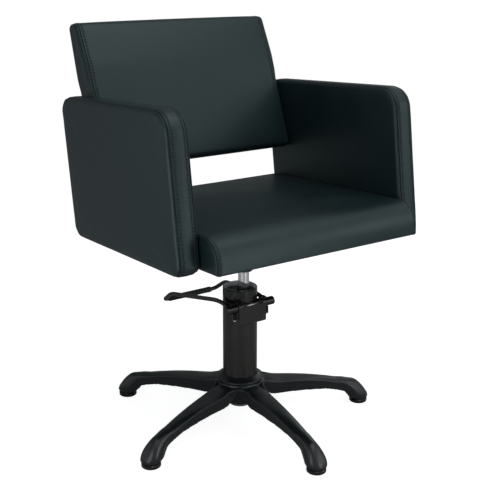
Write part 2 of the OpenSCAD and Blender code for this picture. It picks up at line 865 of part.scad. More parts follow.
module pedal_bar() {
    other_corner = [-bar_corner[0], bar_corner[1], bar_corner[2]];
    half = concat([bar_start],
        bend(bar_start, bar_knee, bar_crank, bar_knee_bend, bend_n),
        bend(bar_knee, bar_crank, bar_corner, bar_crank_bend, bend_n),
        bend(bar_crank, bar_corner, other_corner, bar_corner_bend, bend_n + 2));
    path = concat(half, [for (i = [len(half) - 1:-1:0]) [-half[i][0], half[i][1], half[i][2]]]);
    color(black_plastic) bar(path, [for (p = path) [0, 0, 1]], bar_r, bar_sides);
}

module pedal_sleeve() {
    half_l = pedal_half_w - sleeve_end_gap;
    pitch = 2 * (half_l - sleeve_round) / (sleeve_groove_n + 1);
    color(rubber) translate([0, bar_corner[1], bar_corner[2]]) difference() {
        rotate([0, 90, 0]) rotate_extrude() polygon([
            [bar_r, -half_l], [sleeve_r - sleeve_round / 2, -half_l], [sleeve_r, -half_l + sleeve_round],
            [sleeve_r, half_l - sleeve_round], [sleeve_r - sleeve_round / 2, half_l], [bar_r, half_l]]);
        for (i = [1:sleeve_groove_n]) translate([-half_l + sleeve_round + i * pitch - sleeve_groove_w / 2, 0, 0])
            rotate([0, 90, 0]) ring(sleeve_r - sleeve_groove_d, sleeve_r + over, 0, sleeve_groove_w);
    }
}

// Lift

piston_top_z = piston_low_z + piston_h;
clip_z = piston_low_z + clip_recess_h - gap - clip_t;

module piston_grooves() {
    for (s = groove_zs_shares) let (z = piston_low_z + s * piston_h)
        ring(piston_r - groove_d, piston_r + over, z, z + groove_h);
}

module piston_head() {
    color(steel) at_lift() difference() {
        disc(piston_r, piston_low_z, piston_top_z);
        disc(journal_r + play, piston_low_z - over, piston_top_z + over);
        disc(clip_recess_r, piston_low_z - over, piston_low_z + clip_recess_h);
        piston_grooves();
    }
}

module piston_seals() {
    color(rubber) at_lift() for (s = groove_zs_shares) let (z = piston_low_z + s * piston_h)
        ring(piston_r - groove_d, piston_r, z, z + groove_h);
}

module thrust_washer() {
    color(steel) at_lift() ring(journal_r + play, rod_r, piston_top_z, piston_top_z + thrust_t);
}

module piston_rod() {
    rod_low_z = piston_top_z + thrust_t + play;
    color(chrome) at_lift() rotate_extrude() polygon([
        [0, clip_z - clip_tail], [journal_r, clip_z - clip_tail], [journal_r, clip_z],
        [journal_r - clip_w / 2, clip_z], [journal_r - clip_w / 2, clip_z + clip_t], [journal_r, clip_z + clip_t],
        [journal_r, rod_low_z], [rod_r, rod_low_z], [rod_r, socket_low_z],
        [rod_r - rod_taper_fall, rod_top_z], [0, rod_top_z]]);
}

module rod_clip() {
    color(steel) at_lift() difference() {
        ring(journal_r - clip_w / 2, journal_r + clip_w / 2, clip_z, clip_z + clip_t);
        translate([0, -journal_r / 2, clip_z - over]) cube([2 * journal_r, journal_r, clip_t + 2 * over]);
    }
}

// Seat

module plate_points() {
    for (x = [-1, 1]) for (y = [-1, 1]) translate([x * plate_hole_pitch / 2, y * plate_hole_pitch / 2, 0]) children();
}

module rib() {
    rotate([90, 0, 0]) translate([0, 0, -rib_t / 2]) linear_extrude(rib_t) polygon([
        [socket_r - over, -plate_t / 2], [socket_r - over, -rib_h], [socket_r, -rib_h],
        [rib_reach, -plate_t - over], [rib_reach, -plate_t / 2]]);
}

module plate_slot() {
    for (s = [-1, 1]) translate([s * plate_slot_l / 2, 0, 0])
        disc(plate_bolt_r + ease, -plate_t - over, over);
    translate([-plate_slot_l / 2, -plate_bolt_r - ease, -plate_t - over])
        cube([plate_slot_l, 2 * (plate_bolt_r + ease), plate_t + 2 * over]);
}

module seat_plate() {
    core_w = plate_w - 2 * plate_corner_r;
    color(paint) difference() {
        union() {
            unit() {
                translate([-plate_w / 2, -core_w / 2, -plate_t]) cube([plate_w, core_w, plate_t]);
                translate([-core_w / 2, -plate_w / 2, -plate_t]) cube([core_w, plate_w, plate_t]);
                for (x = [-1, 1]) for (y = [-1, 1]) translate([x * core_w / 2, y * core_w / 2, 0])
                    disc(plate_corner_r, -plate_t, 0);
                at_lift() for (a = [45:90:315]) rotate(a) rib();
            }
            at_lift() disc(socket_r, socket_low_z, seat_under_z - plate_t / 2);
        }
        at_lift() {
            translate([0, 0, socket_low_z])
                cylinder(r1 = rod_r + play, r2 = rod_r - rod_taper_fall + play, h = socket_l + play);
            disc(rod_r, socket_low_z - over, socket_low_z);
            disc(socket_drift_r, rod_top_z, seat_under_z + plate_t);
        }
        unit() plate_points() plate_slot();
    }
}

module plate_bolts() {
    color(steel) unit() plate_points() {
        translate([0, 0, -plate_t - bolt_head_h]) cylinder(r = bolt_head_r, h = bolt_head_h, $fn = 6);
        disc(plate_bolt_r, -plate_t - over, -plate_t + plate_bolt_l);
    }
}

board_half_w = seat_half_w - board_margin_x;
board_front = -seat_front + board_front_margin;
board_rear = seat_rear - board_rear_margin;
rail_front = board_front + rail_inset;
rail_rear = board_rear - rail_inset;

module board_block() {
    translate([-board_half_w, board_front, 0]) cube([2 * board_half_w, board_rear - board_front, board_t]);
}

module seat_board() {
    color(timber) unit() difference() {
        board_block();
        plate_points() disc(plate_bolt_r + ease, -over, board_t + over);
    }
}

module rail_block() {
    translate([board_half_w - rail_w, rail_front, board_t]) cube([rail_w, rail_rear - rail_front, rail_h]);
}

module seat_bolt_points() {
    for (s = seat_bolt_y_shares)
        translate([0, rail_front + s * (rail_rear - rail_front), seat_bolt_z]) children();
}

module seat_rails() {
    color(timber) unit() both_sides() difference() {
        rail_block();
        seat_bolt_points() x_rod(bolt_r + ease, board_half_w - rail_w - over, board_half_w + over);
    }
}

module dust_cover() {
    hole = plate_w / 2 + ease;
    front = board_front + dust_inset;
    rear = board_rear - dust_inset;
    color(cloth) unit() translate([0, 0, -dust_t]) linear_extrude(dust_t) difference() {
        translate([-board_half_w + dust_inset, front])
            square([2 * (board_half_w - dust_inset), rear - front]);
        square(2 * hole, center = true);
    }
}

// Cushion drawn from its side profile: rings across its width, rounded at both side seams.
// bulge is the direction in Y and Z in which the crown rises. Each edge of the outline takes its own
// share of the rounding, so that two cushions that meet at a seam stay close there.
function cushion_stations(half_w, edge_r, crown) = concat(
    [for (s = [0.5, 0.85]) [-half_w, edge_r, s, 0]],
    [for (k = [round_n:-1:0]) [-half_w + edge_r * (1 - sin(90 * k / round_n)), edge_r * (1 - cos(90 * k / round_n)), 1, 0]],
    [for (x = [-0.82, -0.55, -0.28, 0, 0.28, 0.55, 0.82]) [x * half_w, 0, 1, crown * (1 - pow(x, 4))]],
    [for (k = [0:round_n]) [half_w - edge_r * (1 - sin(90 * k / round_n)), edge_r * (1 - cos(90 * k / round_n)), 1, 0]],
    [for (s = [0.85, 0.5]) [half_w, edge_r, s, 0]]);

module profile_cushion(corners, radii, round_shares, half_w, edge_r, crown, bulge, side_bulge) {
    p = outline(corners, radii, even(corners, 0), 0);
    normals = outward(p);
    across = left_of(bulge);
    spans = [for (q = p) q * across];
    mid = (max(spans) + min(spans)) / 2;
    half = (max(spans) - min(spans)) / 2;
    lifts = [for (i = [0:len(p) - 1]) max(0, normals[i] * bulge) * (1 - pow((spans[i] - mid) / half, 2))];
    c = centre_of(p);
    rings = [for (s = cushion_stations(half_w, edge_r, crown))
        let (q = outline(corners, radii, round_shares * s[1], 0),
            side = s[2] < 1 ? sign(s[0]) * side_bulge * (1 - pow(s[2], 2)) : 0)
        ring_at([for (i = [0:len(q) - 1]) c + (q[i] - c) * s[2] + normals[i] * lifts[i] * s[3]], s[0] + side)];
    skin([-half_w - side_bulge, c[0], c[1]], rings, [half_w + side_bulge, c[0], c[1]]);
}

seat_corners = [[-seat_front, 0], [seat_rear, 0], [seat_rear, seat_t], [-seat_front, seat_t]];
seat_corner_rs = [seat_low_r, seat_low_r, seat_rear_r, seat_nose_r];

module seat_cushion() {
    color(vinyl_light) unit() difference() {
        profile_cushion(seat_corners, seat_corner_rs, even(seat_corners, 1), seat_half_w - seat_side_bulge, seat_edge_r,
            seat_crown, [0, 1], seat_side_bulge);
        translate([0, 0, -over]) board_pocket();
        both_sides() {
            rail_block();
            seat_bolt_points() x_rod(bolt_r + ease, board_half_w - over, seat_half_w + over);
            seat_bolt_points() x_rod(bolt_r + ease, board_half_w - rail_w - bolt_well_h, board_half_w - rail_w + over);
        }
    }
}

module board_pocket() {
    translate([-board_half_w, board_front, 0]) cube([2 * board_half_w, board_rear - board_front, board_t + over]);
}

// Arms, drawn on the right at +X. The left ones are mirror images.

arm_corners = [[-arm_front, -arm_drop], [arm_depth - arm_front, -arm_drop],
    [arm_depth - arm_front + arm_lean, arm_h - arm_drop], [arm_lean - arm_front, arm_h - arm_drop]];

module arm_outline(inset) {
    polygon(outline(arm_corners, arm_corner_rs, even(arm_corners, inset), arm_draw));
}

module panel_pad(x_seam, out, t, crown) {
    c = centre_of(outline(arm_corners, arm_corner_rs, even(arm_corners, t), arm_draw));
    edge = [for (k = [0:round_n])
        let (a = 90 * k / round_n)
        ring_at(outline(arm_corners, arm_corner_rs, even(arm_corners, t * (1 - cos(a))), arm_draw),
            x_seam + out * t * sin(a))];
    face = [for (s = face_shares)
        ring_at([for (q = outline(arm_corners, arm_corner_rs, even(arm_corners, t), arm_draw)) c + (q - c) * s],
            x_seam + out * (t + crown * (1 - pow(s, 2))))];
    rings = concat(edge, face);
    tip = [x_seam + out * (t + crown), c[0], c[1]];
    back = [x_seam, c[0], c[1]];
    if (out > 0) skin(back, rings, tip);
    else skin(tip, [for (i = [len(rings) - 1:-1:0]) rings[i]], back);
}

module arm_bolt_holes(x0, x1) {
    seat_bolt_points() x_rod(bolt_r + ease, x0, x1);
    back_bolt_points() x_rod(bolt_r + ease, x0, x1);
}

module arm_core() {
    color(timber) unit() difference() {
        along_x(band_in_x, band_out_x) difference() {
            arm_outline(band_t);
            arm_outline(band_t + arm_rail_w);
        }
        arm_bolt_holes(band_in_x - over, band_out_x + over);
        seat_bolt_points() x_rod(washer_r + ease, band_out_x - bolt_well_h, band_out_x + over);
        back_bolt_points() x_rod(washer_r + ease, band_out_x - bolt_well_h, band_out_x + over);
    }
}

module arm_band() {
    color(vinyl) unit() along_x(band_in_x, band_out_x) difference() {
        arm_outline(0);
        arm_outline(band_t);
    }
}

module arm_outer_pad() {
    color(vinyl) unit() panel_pad(band_out_x, 1, outer_pad_t, outer_crown);
}

module arm_inner_pad() {
    color(vinyl_light) unit() difference() {
        panel_pad(band_in_x, -1, inner_pad_t, inner_crown);
        arm_bolt_holes(arm_in_x - 2 * inner_crown - over, band_in_x + over);
    }
}

// Bolt from the arm's outer side inwards, with its washer
module side_bolt(l) {
    seat_x = band_out_x - bolt_well_h;
    translate([seat_x + washer_t, 0, 0]) rotate([0, 90, 0]) cylinder(r = bolt_head_r, h = bolt_head_h, $fn = 6);
    x_rod(washer_r, seat_x, seat_x + washer_t);
    x_rod(bolt_r, seat_x - (seat_x - board_half_w) - l, seat_x + over);
}

module seat_bolts() {
    color(steel) unit() seat_bolt_points() side_bolt(seat_bolt_l);
}

module back_bolts() {
    color(steel) unit() back_bolt_points() side_bolt(back_bolt_l);
}

// Back

back_high = back_low + back_h;
back_knee = [back_front + back_lean * back_knee_lean_share, back_low + back_h * back_knee_share];
back_top_front = [back_front + back_lean, back_high];
// The split runs parallel to the rear face, a rear pad's thickness in front of it
back_rear_low = [back_front + back_low_t, back_low];
back_rear_high = [back_front + back_lean + back_top_t, back_high];
split_low = back_rear_low - [back_rear_t, 0];
split_high = back_rear_high - [back_rear_t, 0];
seam_step = [back_seam_gap, 0];

function split_at(share) = split_low + (split_high - split_low) * share;

module back_bolt_points() {
    for (s = back_bolt_z_shares) let (p = split_at(s))
        translate([0, p[0] - back_board_t / 2, p[1]]) children();
}

module board_outline() {
    low = split_at(back_board_margin / back_h);
    high = split_at(1 - back_board_margin / back_h);
    polygon([low - [back_board_t, 0], low, high, high - [back_board_t, 0]]);
}

back_board_half_w = back_half_w - back_board_margin;

module back_board() {
    color(timber) unit() difference() {
        along_x(-back_board_half_w, back_board_half_w) board_outline();
        both_sides() back_bolt_points() x_rod(bolt_r, board_half_w - back_bolt_l, board_half_w);
    }
}

module back_front_pad() {
    color(vinyl) unit() difference() {
        profile_cushion(
            [[back_front, back_low], split_low, split_high, back_top_front, back_knee],
            [back_corner_r, back_split_r, back_split_r, back_corner_r, back_knee_r], front_round_shares,
            back_half_w - seat_side_bulge, back_edge_r, back_crown, unit_of([-back_h, back_lean]), seat_side_bulge);
        along_x(-back_board_half_w, back_board_half_w) board_outline();
        both_sides() back_bolt_points() x_rod(bolt_r + ease, board_half_w - back_bolt_l - over, back_half_w + over);
    }
}

module back_rear_pad() {
    color(vinyl) unit() profile_cushion(
        [split_low + seam_step, back_rear_low, back_rear_high, split_high + seam_step],
        [back_split_r, back_corner_r, back_corner_r, back_split_r], rear_round_shares,
        back_half_w - seat_side_bulge, back_edge_r, back_crown / 2, [1, 0], seat_side_bulge);
}

star_base();
glide(0);  // glide_1
glide(1);  // glide_2
glide(2);  // glide_3
glide(3);  // glide_4
glide(4);  // glide_5
pump_tube();
tube_plug();
base_washer();
base_circlip();
inner_cylinder();
rod_guide();
cylinder_cap();
rod_wiper();
pump_housing();
shaft_bushes();
plunger_spring();
pedal_shaft();
pump_cam();
mirror([1, 0, 0]) pedal_hub();  // left_pedal_hub
pedal_hub();  // right_pedal_hub
hub_caps();
hub_screws();
pedal_bar();
pedal_sleeve();
plunger();
plunger_seal();
piston_head();
piston_seals();
thrust_washer();
piston_rod();
rod_clip();
seat_plate();
plate_bolts();
seat_board();
seat_rails();
seat_cushion();
dust_cover();
mirror([1, 0, 0]) arm_core();  // left_arm_core
mirror([1, 0, 0]) arm_band();  // left_arm_band
mirror([1, 0, 0]) arm_outer_pad();  // left_arm_outer_pad
mirror([1, 0, 0]) arm_inner_pad();  // left_arm_inner_pad
mirror([1, 0, 0]) seat_bolts();  // left_seat_bolts
mirror([1, 0, 0]) back_bolts();  // left_back_bolts
arm_core();  // right_arm_core
arm_band();  // right_arm_band
arm_outer_pad();  // right_arm_outer_pad
arm_inner_pad();  // right_arm_inner_pad
seat_bolts();  // right_seat_bolts
back_bolts();  // right_back_bolts
back_board();
back_front_pad();
back_rear_pad();
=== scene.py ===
import math
import bpy
import bmesh
import numpy as np
from mathutils import Matrix, Vector


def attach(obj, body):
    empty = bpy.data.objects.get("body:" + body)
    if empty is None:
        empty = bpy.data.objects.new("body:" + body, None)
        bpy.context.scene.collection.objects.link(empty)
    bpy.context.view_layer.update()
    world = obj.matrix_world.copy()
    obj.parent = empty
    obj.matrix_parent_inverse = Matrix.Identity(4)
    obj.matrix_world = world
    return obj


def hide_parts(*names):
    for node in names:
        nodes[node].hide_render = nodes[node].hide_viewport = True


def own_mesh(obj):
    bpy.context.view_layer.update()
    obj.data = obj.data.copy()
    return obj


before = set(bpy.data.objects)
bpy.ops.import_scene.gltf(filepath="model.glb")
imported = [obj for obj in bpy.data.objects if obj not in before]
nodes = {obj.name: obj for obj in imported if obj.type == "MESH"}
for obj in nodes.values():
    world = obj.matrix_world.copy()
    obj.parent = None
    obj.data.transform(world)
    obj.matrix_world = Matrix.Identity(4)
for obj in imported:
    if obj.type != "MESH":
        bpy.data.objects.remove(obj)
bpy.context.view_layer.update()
scene = bpy.context.scene

# What a user would change first. Lengths are in metres, angles in degrees.
shot = {"target": (0, 0, 0.4273), "azimuth": -33.85, "elevation": 16.99, "distance": 2.029, "sensor": 36,
        "lens": 68.87}
# The upholstered unit is shaped level, then tips back about a point on the column's axis
unit = {"height": 0.454, "tilt": 3.5}
unitToWorld = (Matrix.Translation((0, 0, unit["height"]))
               @ Matrix.Rotation(math.radians(-unit["tilt"]), 4, "X"))
print("frame loaded:", len(nodes), "nodes")


# Small helpers for node trees and meshes

def addNode(tree, kind, **values):
    node = tree.nodes.new(kind)
    for name, value in values.items():
        setattr(node, name, value)
    return node


def fill(tree, socket, value):
    # A socket takes a link from another socket, or a plain value
    if isinstance(value, bpy.types.NodeSocket):
        tree.links.new(value, socket)
    else:
        socket.default_value = value


def feed(tree, node, **sockets):
    # Fills a node's inputs by their labels, with _ for a space
    for label, value in sockets.items():
        fill(tree, node.inputs[label.replace("_", " ")], value)
    return node


def calc(tree, operation, *values, kind="ShaderNodeMath"):
    node = addNode(tree, kind, operation=operation)
    for socket, value in zip(node.inputs, values):
        fill(tree, socket, value)
    return node.outputs[0]


def objectPlace(tree):
    return addNode(tree, "ShaderNodeTexCoord").outputs["Object"]


def noise(tree, place, **sockets):
    return feed(tree, addNode(tree, "ShaderNodeTexNoise"), Vector=place, **sockets).outputs


def linkPiece(name, mesh):
    piece = bpy.data.objects.new(name, mesh)
    scene.collection.objects.link(piece)
    return piece


def shadeSmooth(mesh):
    mesh.polygons.foreach_set("use_smooth", [True] * len(mesh.polygons))


def joinRings(faces, start, rings, size, turned=False):
    # Quads between rings of points that follow each other. Turned ones face the other way.
    for k in range(rings - 1):
        a, b = start + k * size, start + (k + 1) * size
        for i in range(size):
            j = (i + 1) % size
            faces.append((a + i, b + i, b + j, a + j) if turned else (a + i, a + j, b + j, b + i))


def meshPiece(name, points, faces):
    mesh = bpy.data.meshes.new(name)
    mesh.from_pydata([tuple(p) for p in points], [], [tuple(int(i) for i in f) for f in faces])
    shadeSmooth(mesh)
    mesh.update()
    return linkPiece(name, mesh)


mergeWithin = 0.00001


def mergedNode(name, nodeName, flatTurn=None):
    # Copy of a CAD node with its loose triangles joined. Below flatTurn degrees, faces become one.
    source = nodes[nodeName]
    mesh = source.data.copy()
    mesh.transform(source.matrix_world)
    work = bmesh.new()
    work.from_mesh(mesh)
    bmesh.ops.remove_doubles(work, verts=work.verts, dist=mergeWithin)
    if flatTurn:
        bmesh.ops.dissolve_limit(work, angle_limit=math.radians(flatTurn), verts=work.verts,
                                 edges=work.edges)
    work.to_mesh(mesh)
    work.free()
    return linkPiece(name, mesh)


def bakeModifiers(piece):
    # The evaluated shape becomes the piece's own mesh
    bpy.context.view_layer.update()
    evaluated = piece.evaluated_get(bpy.context.evaluated_depsgraph_get())
    mesh = bpy.data.meshes.new_from_object(evaluated)
    piece.modifiers.clear()
    piece.data = mesh
    return piece


def finishPiece(piece, body, material=None, replaced=()):
    if material:
        piece.data.materials.clear()
        piece.data.materials.append(material)
    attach(piece, body)
    if replaced:
        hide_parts(*replaced)
    return piece


# Shader groups that several finishes share

def shaderGroup(name, inputs, outputs):
    # Every socket is a number. inputs gives their first values.
    group = bpy.data.node_groups.new(name, "ShaderNodeTree")
    for label, value in inputs.items():
        socket = group.interface.new_socket(label, in_out="INPUT", socket_type="NodeSocketFloat")
        socket.default_value = value
    for label in outputs:
        group.interface.new_socket(label, in_out="OUTPUT", socket_type="NodeSocketFloat")
    return group, addNode(group, "NodeGroupInput").outputs, addNode(group, "NodeGroupOutput")


def groupNode(tree, group, **sockets):
    return feed(tree, addNode(tree, "ShaderNodeGroup", node_tree=group), **sockets).outputs


def span(tree, value, low, high):
    # Runs from low to high while the value runs from 0 to 1
    node = addNode(tree, "ShaderNodeMapRange")
    return feed(tree, node, Value=value, To_Min=low, To_Max=high).outputs["Result"]


def stepDown(tree, value, near, far):
    # 1 below near, 0 beyond far, smooth between
    node = addNode(tree, "ShaderNodeMapRange", interpolation_type="SMOOTHSTEP")
    feed(tree, node, Value=value, From_Min=near, From_Max=far, To_Min=1, To_Max=0)
    return node.outputs["Result"]


def makeGrainGroup():
    # Embossed pebbles of a coated fabric, with finer pores between them
    group, source, result = shaderGroup(
        "vinylGrain", {"Pebble Scale": 900.0, "Pore Share": 0.35, "Warp": 0.0006}, ["Height"])
    place = objectPlace(group)
    drift = feed(group, addNode(group, "ShaderNodeVectorMath", operation="SCALE"),
                 Vector=noise(group, place, Scale=260)["Color"], Scale=source["Warp"])
    moved = calc(group, "ADD", place, drift.outputs["Vector"], kind="ShaderNodeVectorMath")
    pebbles = feed(group, addNode(group, "ShaderNodeTexVoronoi", feature="DISTANCE_TO_EDGE"),
                   Vector=moved, Scale=source["Pebble Scale"])
    dome = feed(group, addNode(group, "ShaderNodeMapRange", interpolation_type="SMOOTHSTEP"),
                Value=pebbles.outputs["Distance"], From_Max=0.16)
    pores = noise(group, place, Scale=2600, Detail=2)["Fac"]
    feed(group, result,
         Height=calc(group, "MULTIPLY_ADD", pores, source["Pore Share"], dome.outputs["Result"]))
    return group


def makeMottleGroup():
    # Slow patches of handling and dust, from 0 to 1
    group, source, result = shaderGroup("surfaceMottle", {"Scale": 14.0, "Contrast": 0.5}, ["Mask"])
    patches = noise(group, objectPlace(group), Scale=source["Scale"], Detail=4, Roughness=0.55)["Fac"]
    low = calc(group, "MULTIPLY_ADD", source["Contrast"], 0.3, 0.2)
    mask = feed(group, addNode(group, "ShaderNodeMapRange"), Value=patches, From_Min=low, From_Max=0.7)
    feed(group, result, Mask=mask.outputs["Result"])
    return group


def makeCastGroup():
    # Orange-peel of a powder coat, over the slight waviness of a casting
    group, source, result = shaderGroup(
        "powderCoat", {"Peel Scale": 1100.0, "Wave Share": 0.6}, ["Height"])
    place = objectPlace(group)
    peel = noise(group, place, Scale=source["Peel Scale"], Detail=1)["Fac"]
    wave = noise(group, place, Scale=90)["Fac"]
    feed(group, result, Height=calc(group, "MULTIPLY_ADD", wave, source["Wave Share"], peel))
    return group


# Each pair says how far an effect is full and where it ends: millimetres from the seam or the row,
# a share of the reach for the pull, and stitches from a hole for the valley
seamLook = {"crease": (0.4, 1.5), "pull": (0.35, 1.0), "trench": (0.5, 1.7), "valley": (0.03, 0.2),
            "puckerDepth": 0.55, "trenchDepth": 0.3, "puckerShade": 0.9, "trenchShade": 0.4,
            "creaseShade": 0.95}


def makeSeamGroup():
    # The seam map holds stitches counted along a seam and millimetres across it, from the seam
    # line. Holes at the ends of each stitch draw the cover into small valleys across the row.
    group, source, result = shaderGroup("seamWork", {"Row": 6.0, "Reach": 4.2}, ["Height", "Shade"])
    place = addNode(group, "ShaderNodeUVMap", uv_map="seam").outputs["UV"]
    parts = feed(group, addNode(group, "ShaderNodeSeparateXYZ"), Vector=place).outputs
    crease = stepDown(group, calc(group, "ABSOLUTE", parts["Y"]), *seamLook["crease"])
    fromRow = calc(group, "ABSOLUTE", calc(group, "SUBTRACT", parts["Y"], source["Row"]))
    pull = stepDown(group, calc(group, "DIVIDE", fromRow, source["Reach"]), *seamLook["pull"])
    trench = stepDown(group, fromRow, *seamLook["trench"])
    fromHole = calc(group, "ABSOLUTE", calc(group, "SUBTRACT", calc(group, "FRACT", parts["X"]), 0.5))
    pucker = calc(group, "MULTIPLY", pull, stepDown(group, fromHole, *seamLook["valley"]))
    low = calc(group, "MULTIPLY_ADD", pucker, seamLook["puckerDepth"],
               calc(group, "MULTIPLY", trench, seamLook["trenchDepth"]))
    low = calc(group, "MAXIMUM", low, crease)
    # Shade is painted shade: the crease, the trench and the valleys by the holes are darkened where shade
    # would fall
    dark = calc(group, "MAXIMUM", calc(group, "MULTIPLY", pucker, seamLook["puckerShade"]),
                calc(group, "MULTIPLY", trench, seamLook["trenchShade"]))
    dark = calc(group, "MAXIMUM", dark, calc(group, "MULTIPLY", crease, seamLook["creaseShade"]))
    feed(group, result, Height=calc(group, "MULTIPLY", low, -1), Shade=dark)
    return group


grainGroup = makeGrainGroup()
mottleGroup = makeMottleGroup()
castGroup = makeCastGroup()
seamGroup = makeSeamGroup()


# Finishes. Tones are linear colours, and a bump is its strength and its depth in metres.

def newFinish(name, **sockets):
    material = bpy.data.materials.new(name)
    material.use_nodes = True
    tree = material.node_tree
    return material, tree, feed(tree, tree.nodes["Principled BSDF"], **sockets)


def mixTones(tree, mask, dark, light):
    # The dark tone may be a socket. Otherwise a tone is three numbers.
    node = addNode(tree, "ShaderNodeMix", data_type="RGBA")
    first = dark if isinstance(dark, bpy.types.NodeSocket) else (*dark, 1)
    return feed(tree, node, Factor=mask, A=first, B=(*light, 1)).outputs["Result"]


def bump(tree, height, strength, depth, **under):
    node = addNode(tree, "ShaderNodeBump")
    return feed(tree, node, Height=height, Strength=strength, Distance=depth, **under).outputs["Normal"]


def times(tone, factor):
    return tuple(c * factor for c in tone)


# seam is the colour of the painted shade in the seams and beside the stitches
vinyl = {"dark": (0.0046, 0.0118, 0.0138), "light": (0.0064, 0.0156, 0.0182),
         "seam": (0.0012, 0.0019, 0.0022), "shine": (0.8, 1, 1, 1), "patches": 9.0, "rough": (0.37, 0.45),
         "seamRough": 0.35, "pebble": 950.0, "grain": (0.3, 0.00012), "sewn": (0.85, 0.0013)}


def makeVinyl():
    # Coated cover: fine grain everywhere, with painted shade darkening the seams and the valleys beside the
    # stitches
    material, tree, shader = newFinish("blueBlackVinyl", Specular_Tint=vinyl["shine"])
    grain = groupNode(tree, grainGroup, Pebble_Scale=vinyl["pebble"])["Height"]
    patches = groupNode(tree, mottleGroup, Scale=vinyl["patches"])["Mask"]
    seams = groupNode(tree, seamGroup)
    tones = mixTones(tree, patches, vinyl["dark"], vinyl["light"])
    sewn = bump(tree, seams["Height"], *vinyl["sewn"])
    feed(tree, shader, Base_Color=mixTones(tree, seams["Shade"], tones, vinyl["seam"]),
         Roughness=calc(tree, "MULTIPLY_ADD", seams["Shade"], vinyl["seamRough"],
                        span(tree, patches, *vinyl["rough"])),
         Normal=bump(tree, grain, *vinyl["grain"], Normal=sewn))
    return material


# Surfaces of paint, plastic and rubber: scale of the patches, how far they take the roughness down
# and up, scale of the peel, share of waves in it, and its bump. The light tone is this much paler
# than the dark one, where a finish doesn't name its own.
powder = {"patches": 22.0, "below": 0.04, "above": 0.05, "peel": 1100.0, "waves": 0.6,
          "bump": (0.1, 0.00015)}
paint = {**powder, "peel": 1500.0, "bump": (0.12, 0.00015)}
plastic = {"patches": 40.0, "below": 0, "above": 0.08, "peel": 2200.0, "waves": 0.2,
           "bump": (0.08, 0.00005), "paler": 1.25}
rubber = {"patches": 55.0, "below": 0, "above": 0.12, "peel": 3000.0, "waves": 0.3,
          "bump": (0.3, 0.00008), "paler": 1.5}


def coatBump(tree, coat):
    peel = groupNode(tree, castGroup, Peel_Scale=coat["peel"], Wave_Share=coat["waves"])["Height"]
    return bump(tree, peel, *coat["bump"])


def makeCoated(name, coat, rough, dark, light=None):
    material, tree, shader = newFinish(name)
    patches = groupNode(tree, mottleGroup, Scale=coat["patches"])["Mask"]
    feed(tree, shader, Base_Color=mixTones(tree, patches, dark, light or times(dark, coat["paler"])),
         Roughness=span(tree, patches, rough - coat["below"], rough + coat["above"]),
         Normal=coatBump(tree, coat))
    return material


def stretchedNoise(tree, stretch, **sockets):
    place = feed(tree, addNode(tree, "ShaderNodeMapping"), Vector=objectPlace(tree), Scale=stretch)
    return noise(tree, place.outputs["Vector"], **sockets)["Fac"]


def makeMetal(name, tone, low, high, lines):
    # Turned or drawn metal: fine lines round or along it, as stretched noise
    material, tree, shader = newFinish(name, Metallic=1.0)
    streaks = stretchedNoise(tree, lines, Scale=60, Detail=3)
    feed(tree, shader, Base_Color=mixTones(tree, streaks, times(tone, 0.92), tone),
         Roughness=span(tree, streaks, low, high), Normal=bump(tree, streaks, 0.06, 0.00003))
    return material


# Cap of the column. Its inner wall, inside the radius and above the floor, is painted pale: painted light,
# as if the wall were lit.
rim = {"tone": (0.006, 0.006, 0.0065), "paintedLitWall": (0.6, 0.63, 0.64), "rough": 0.14, "paintedLitWallRough": 0.34,
       "radius": 0.0358, "radiusBlend": 0.0003, "floor": 0.3084, "floorBlend": 0.0004}


def makeRimmedPlastic():
    material, tree, shader = newFinish("rimmedBlack")
    parts = feed(tree, addNode(tree, "ShaderNodeSeparateXYZ"), Vector=objectPlace(tree)).outputs
    flat = feed(tree, addNode(tree, "ShaderNodeCombineXYZ"), X=parts["X"], Y=parts["Y"]).outputs["Vector"]
    length = feed(tree, addNode(tree, "ShaderNodeVectorMath", operation="LENGTH"), Vector=flat)
    inside = stepDown(tree, length.outputs["Value"], rim["radius"], rim["radius"] + rim["radiusBlend"])
    low = stepDown(tree, parts["Z"], rim["floor"], rim["floor"] + rim["floorBlend"])
    # Mask of the painted light on the inner wall
    mask = calc(tree, "MULTIPLY", inside, calc(tree, "SUBTRACT", 1, low))
    feed(tree, shader, Base_Color=mixTones(tree, mask, rim["tone"], rim["paintedLitWall"]),
         Roughness=span(tree, mask, rim["rough"], rim["paintedLitWallRough"]), Normal=coatBump(tree, plastic))
    return material


# Blackened clamp screws whose points, below the tip's top, are painted bright: a painted highlight on the
# tip
screw = {"tipTop": 0.2612, "tipBlend": 0.0006, "black": (0.02, 0.02, 0.022), "paintedGlint": (0.75, 0.76, 0.78),
         "rough": (0.2, 0.34), "patches": 90.0, "peel": 2600.0, "waves": 0.3, "bump": (0.12, 0.00005)}


def makeTippedSteel():
    material, tree, shader = newFinish("tippedScrew", Metallic=1.0)
    height = feed(tree, addNode(tree, "ShaderNodeSeparateXYZ"), Vector=objectPlace(tree)).outputs["Z"]
    # Mask of the painted highlight on the screw points
    paintedGlint = stepDown(tree, height, screw["tipTop"], screw["tipTop"] + screw["tipBlend"])
    patches = groupNode(tree, mottleGroup, Scale=screw["patches"])["Mask"]
    feed(tree, shader, Base_Color=mixTones(tree, paintedGlint, screw["black"], screw["paintedGlint"]),
         Roughness=span(tree, patches, *screw["rough"]), Normal=coatBump(tree, screw))
    return material


def makeTimber():
    # Plywood, with its grain along Y
    material, tree, shader = newFinish("rawPlywood", Roughness=0.6)
    rings = stretchedNoise(tree, (40, 3, 40), Scale=6, Detail=5, Distortion=0.6)
    feed(tree, shader, Base_Color=mixTones(tree, rings, (0.42, 0.27, 0.14), (0.66, 0.49, 0.3)),
         Normal=bump(tree, rings, 0.2, 0.0002))
    return material


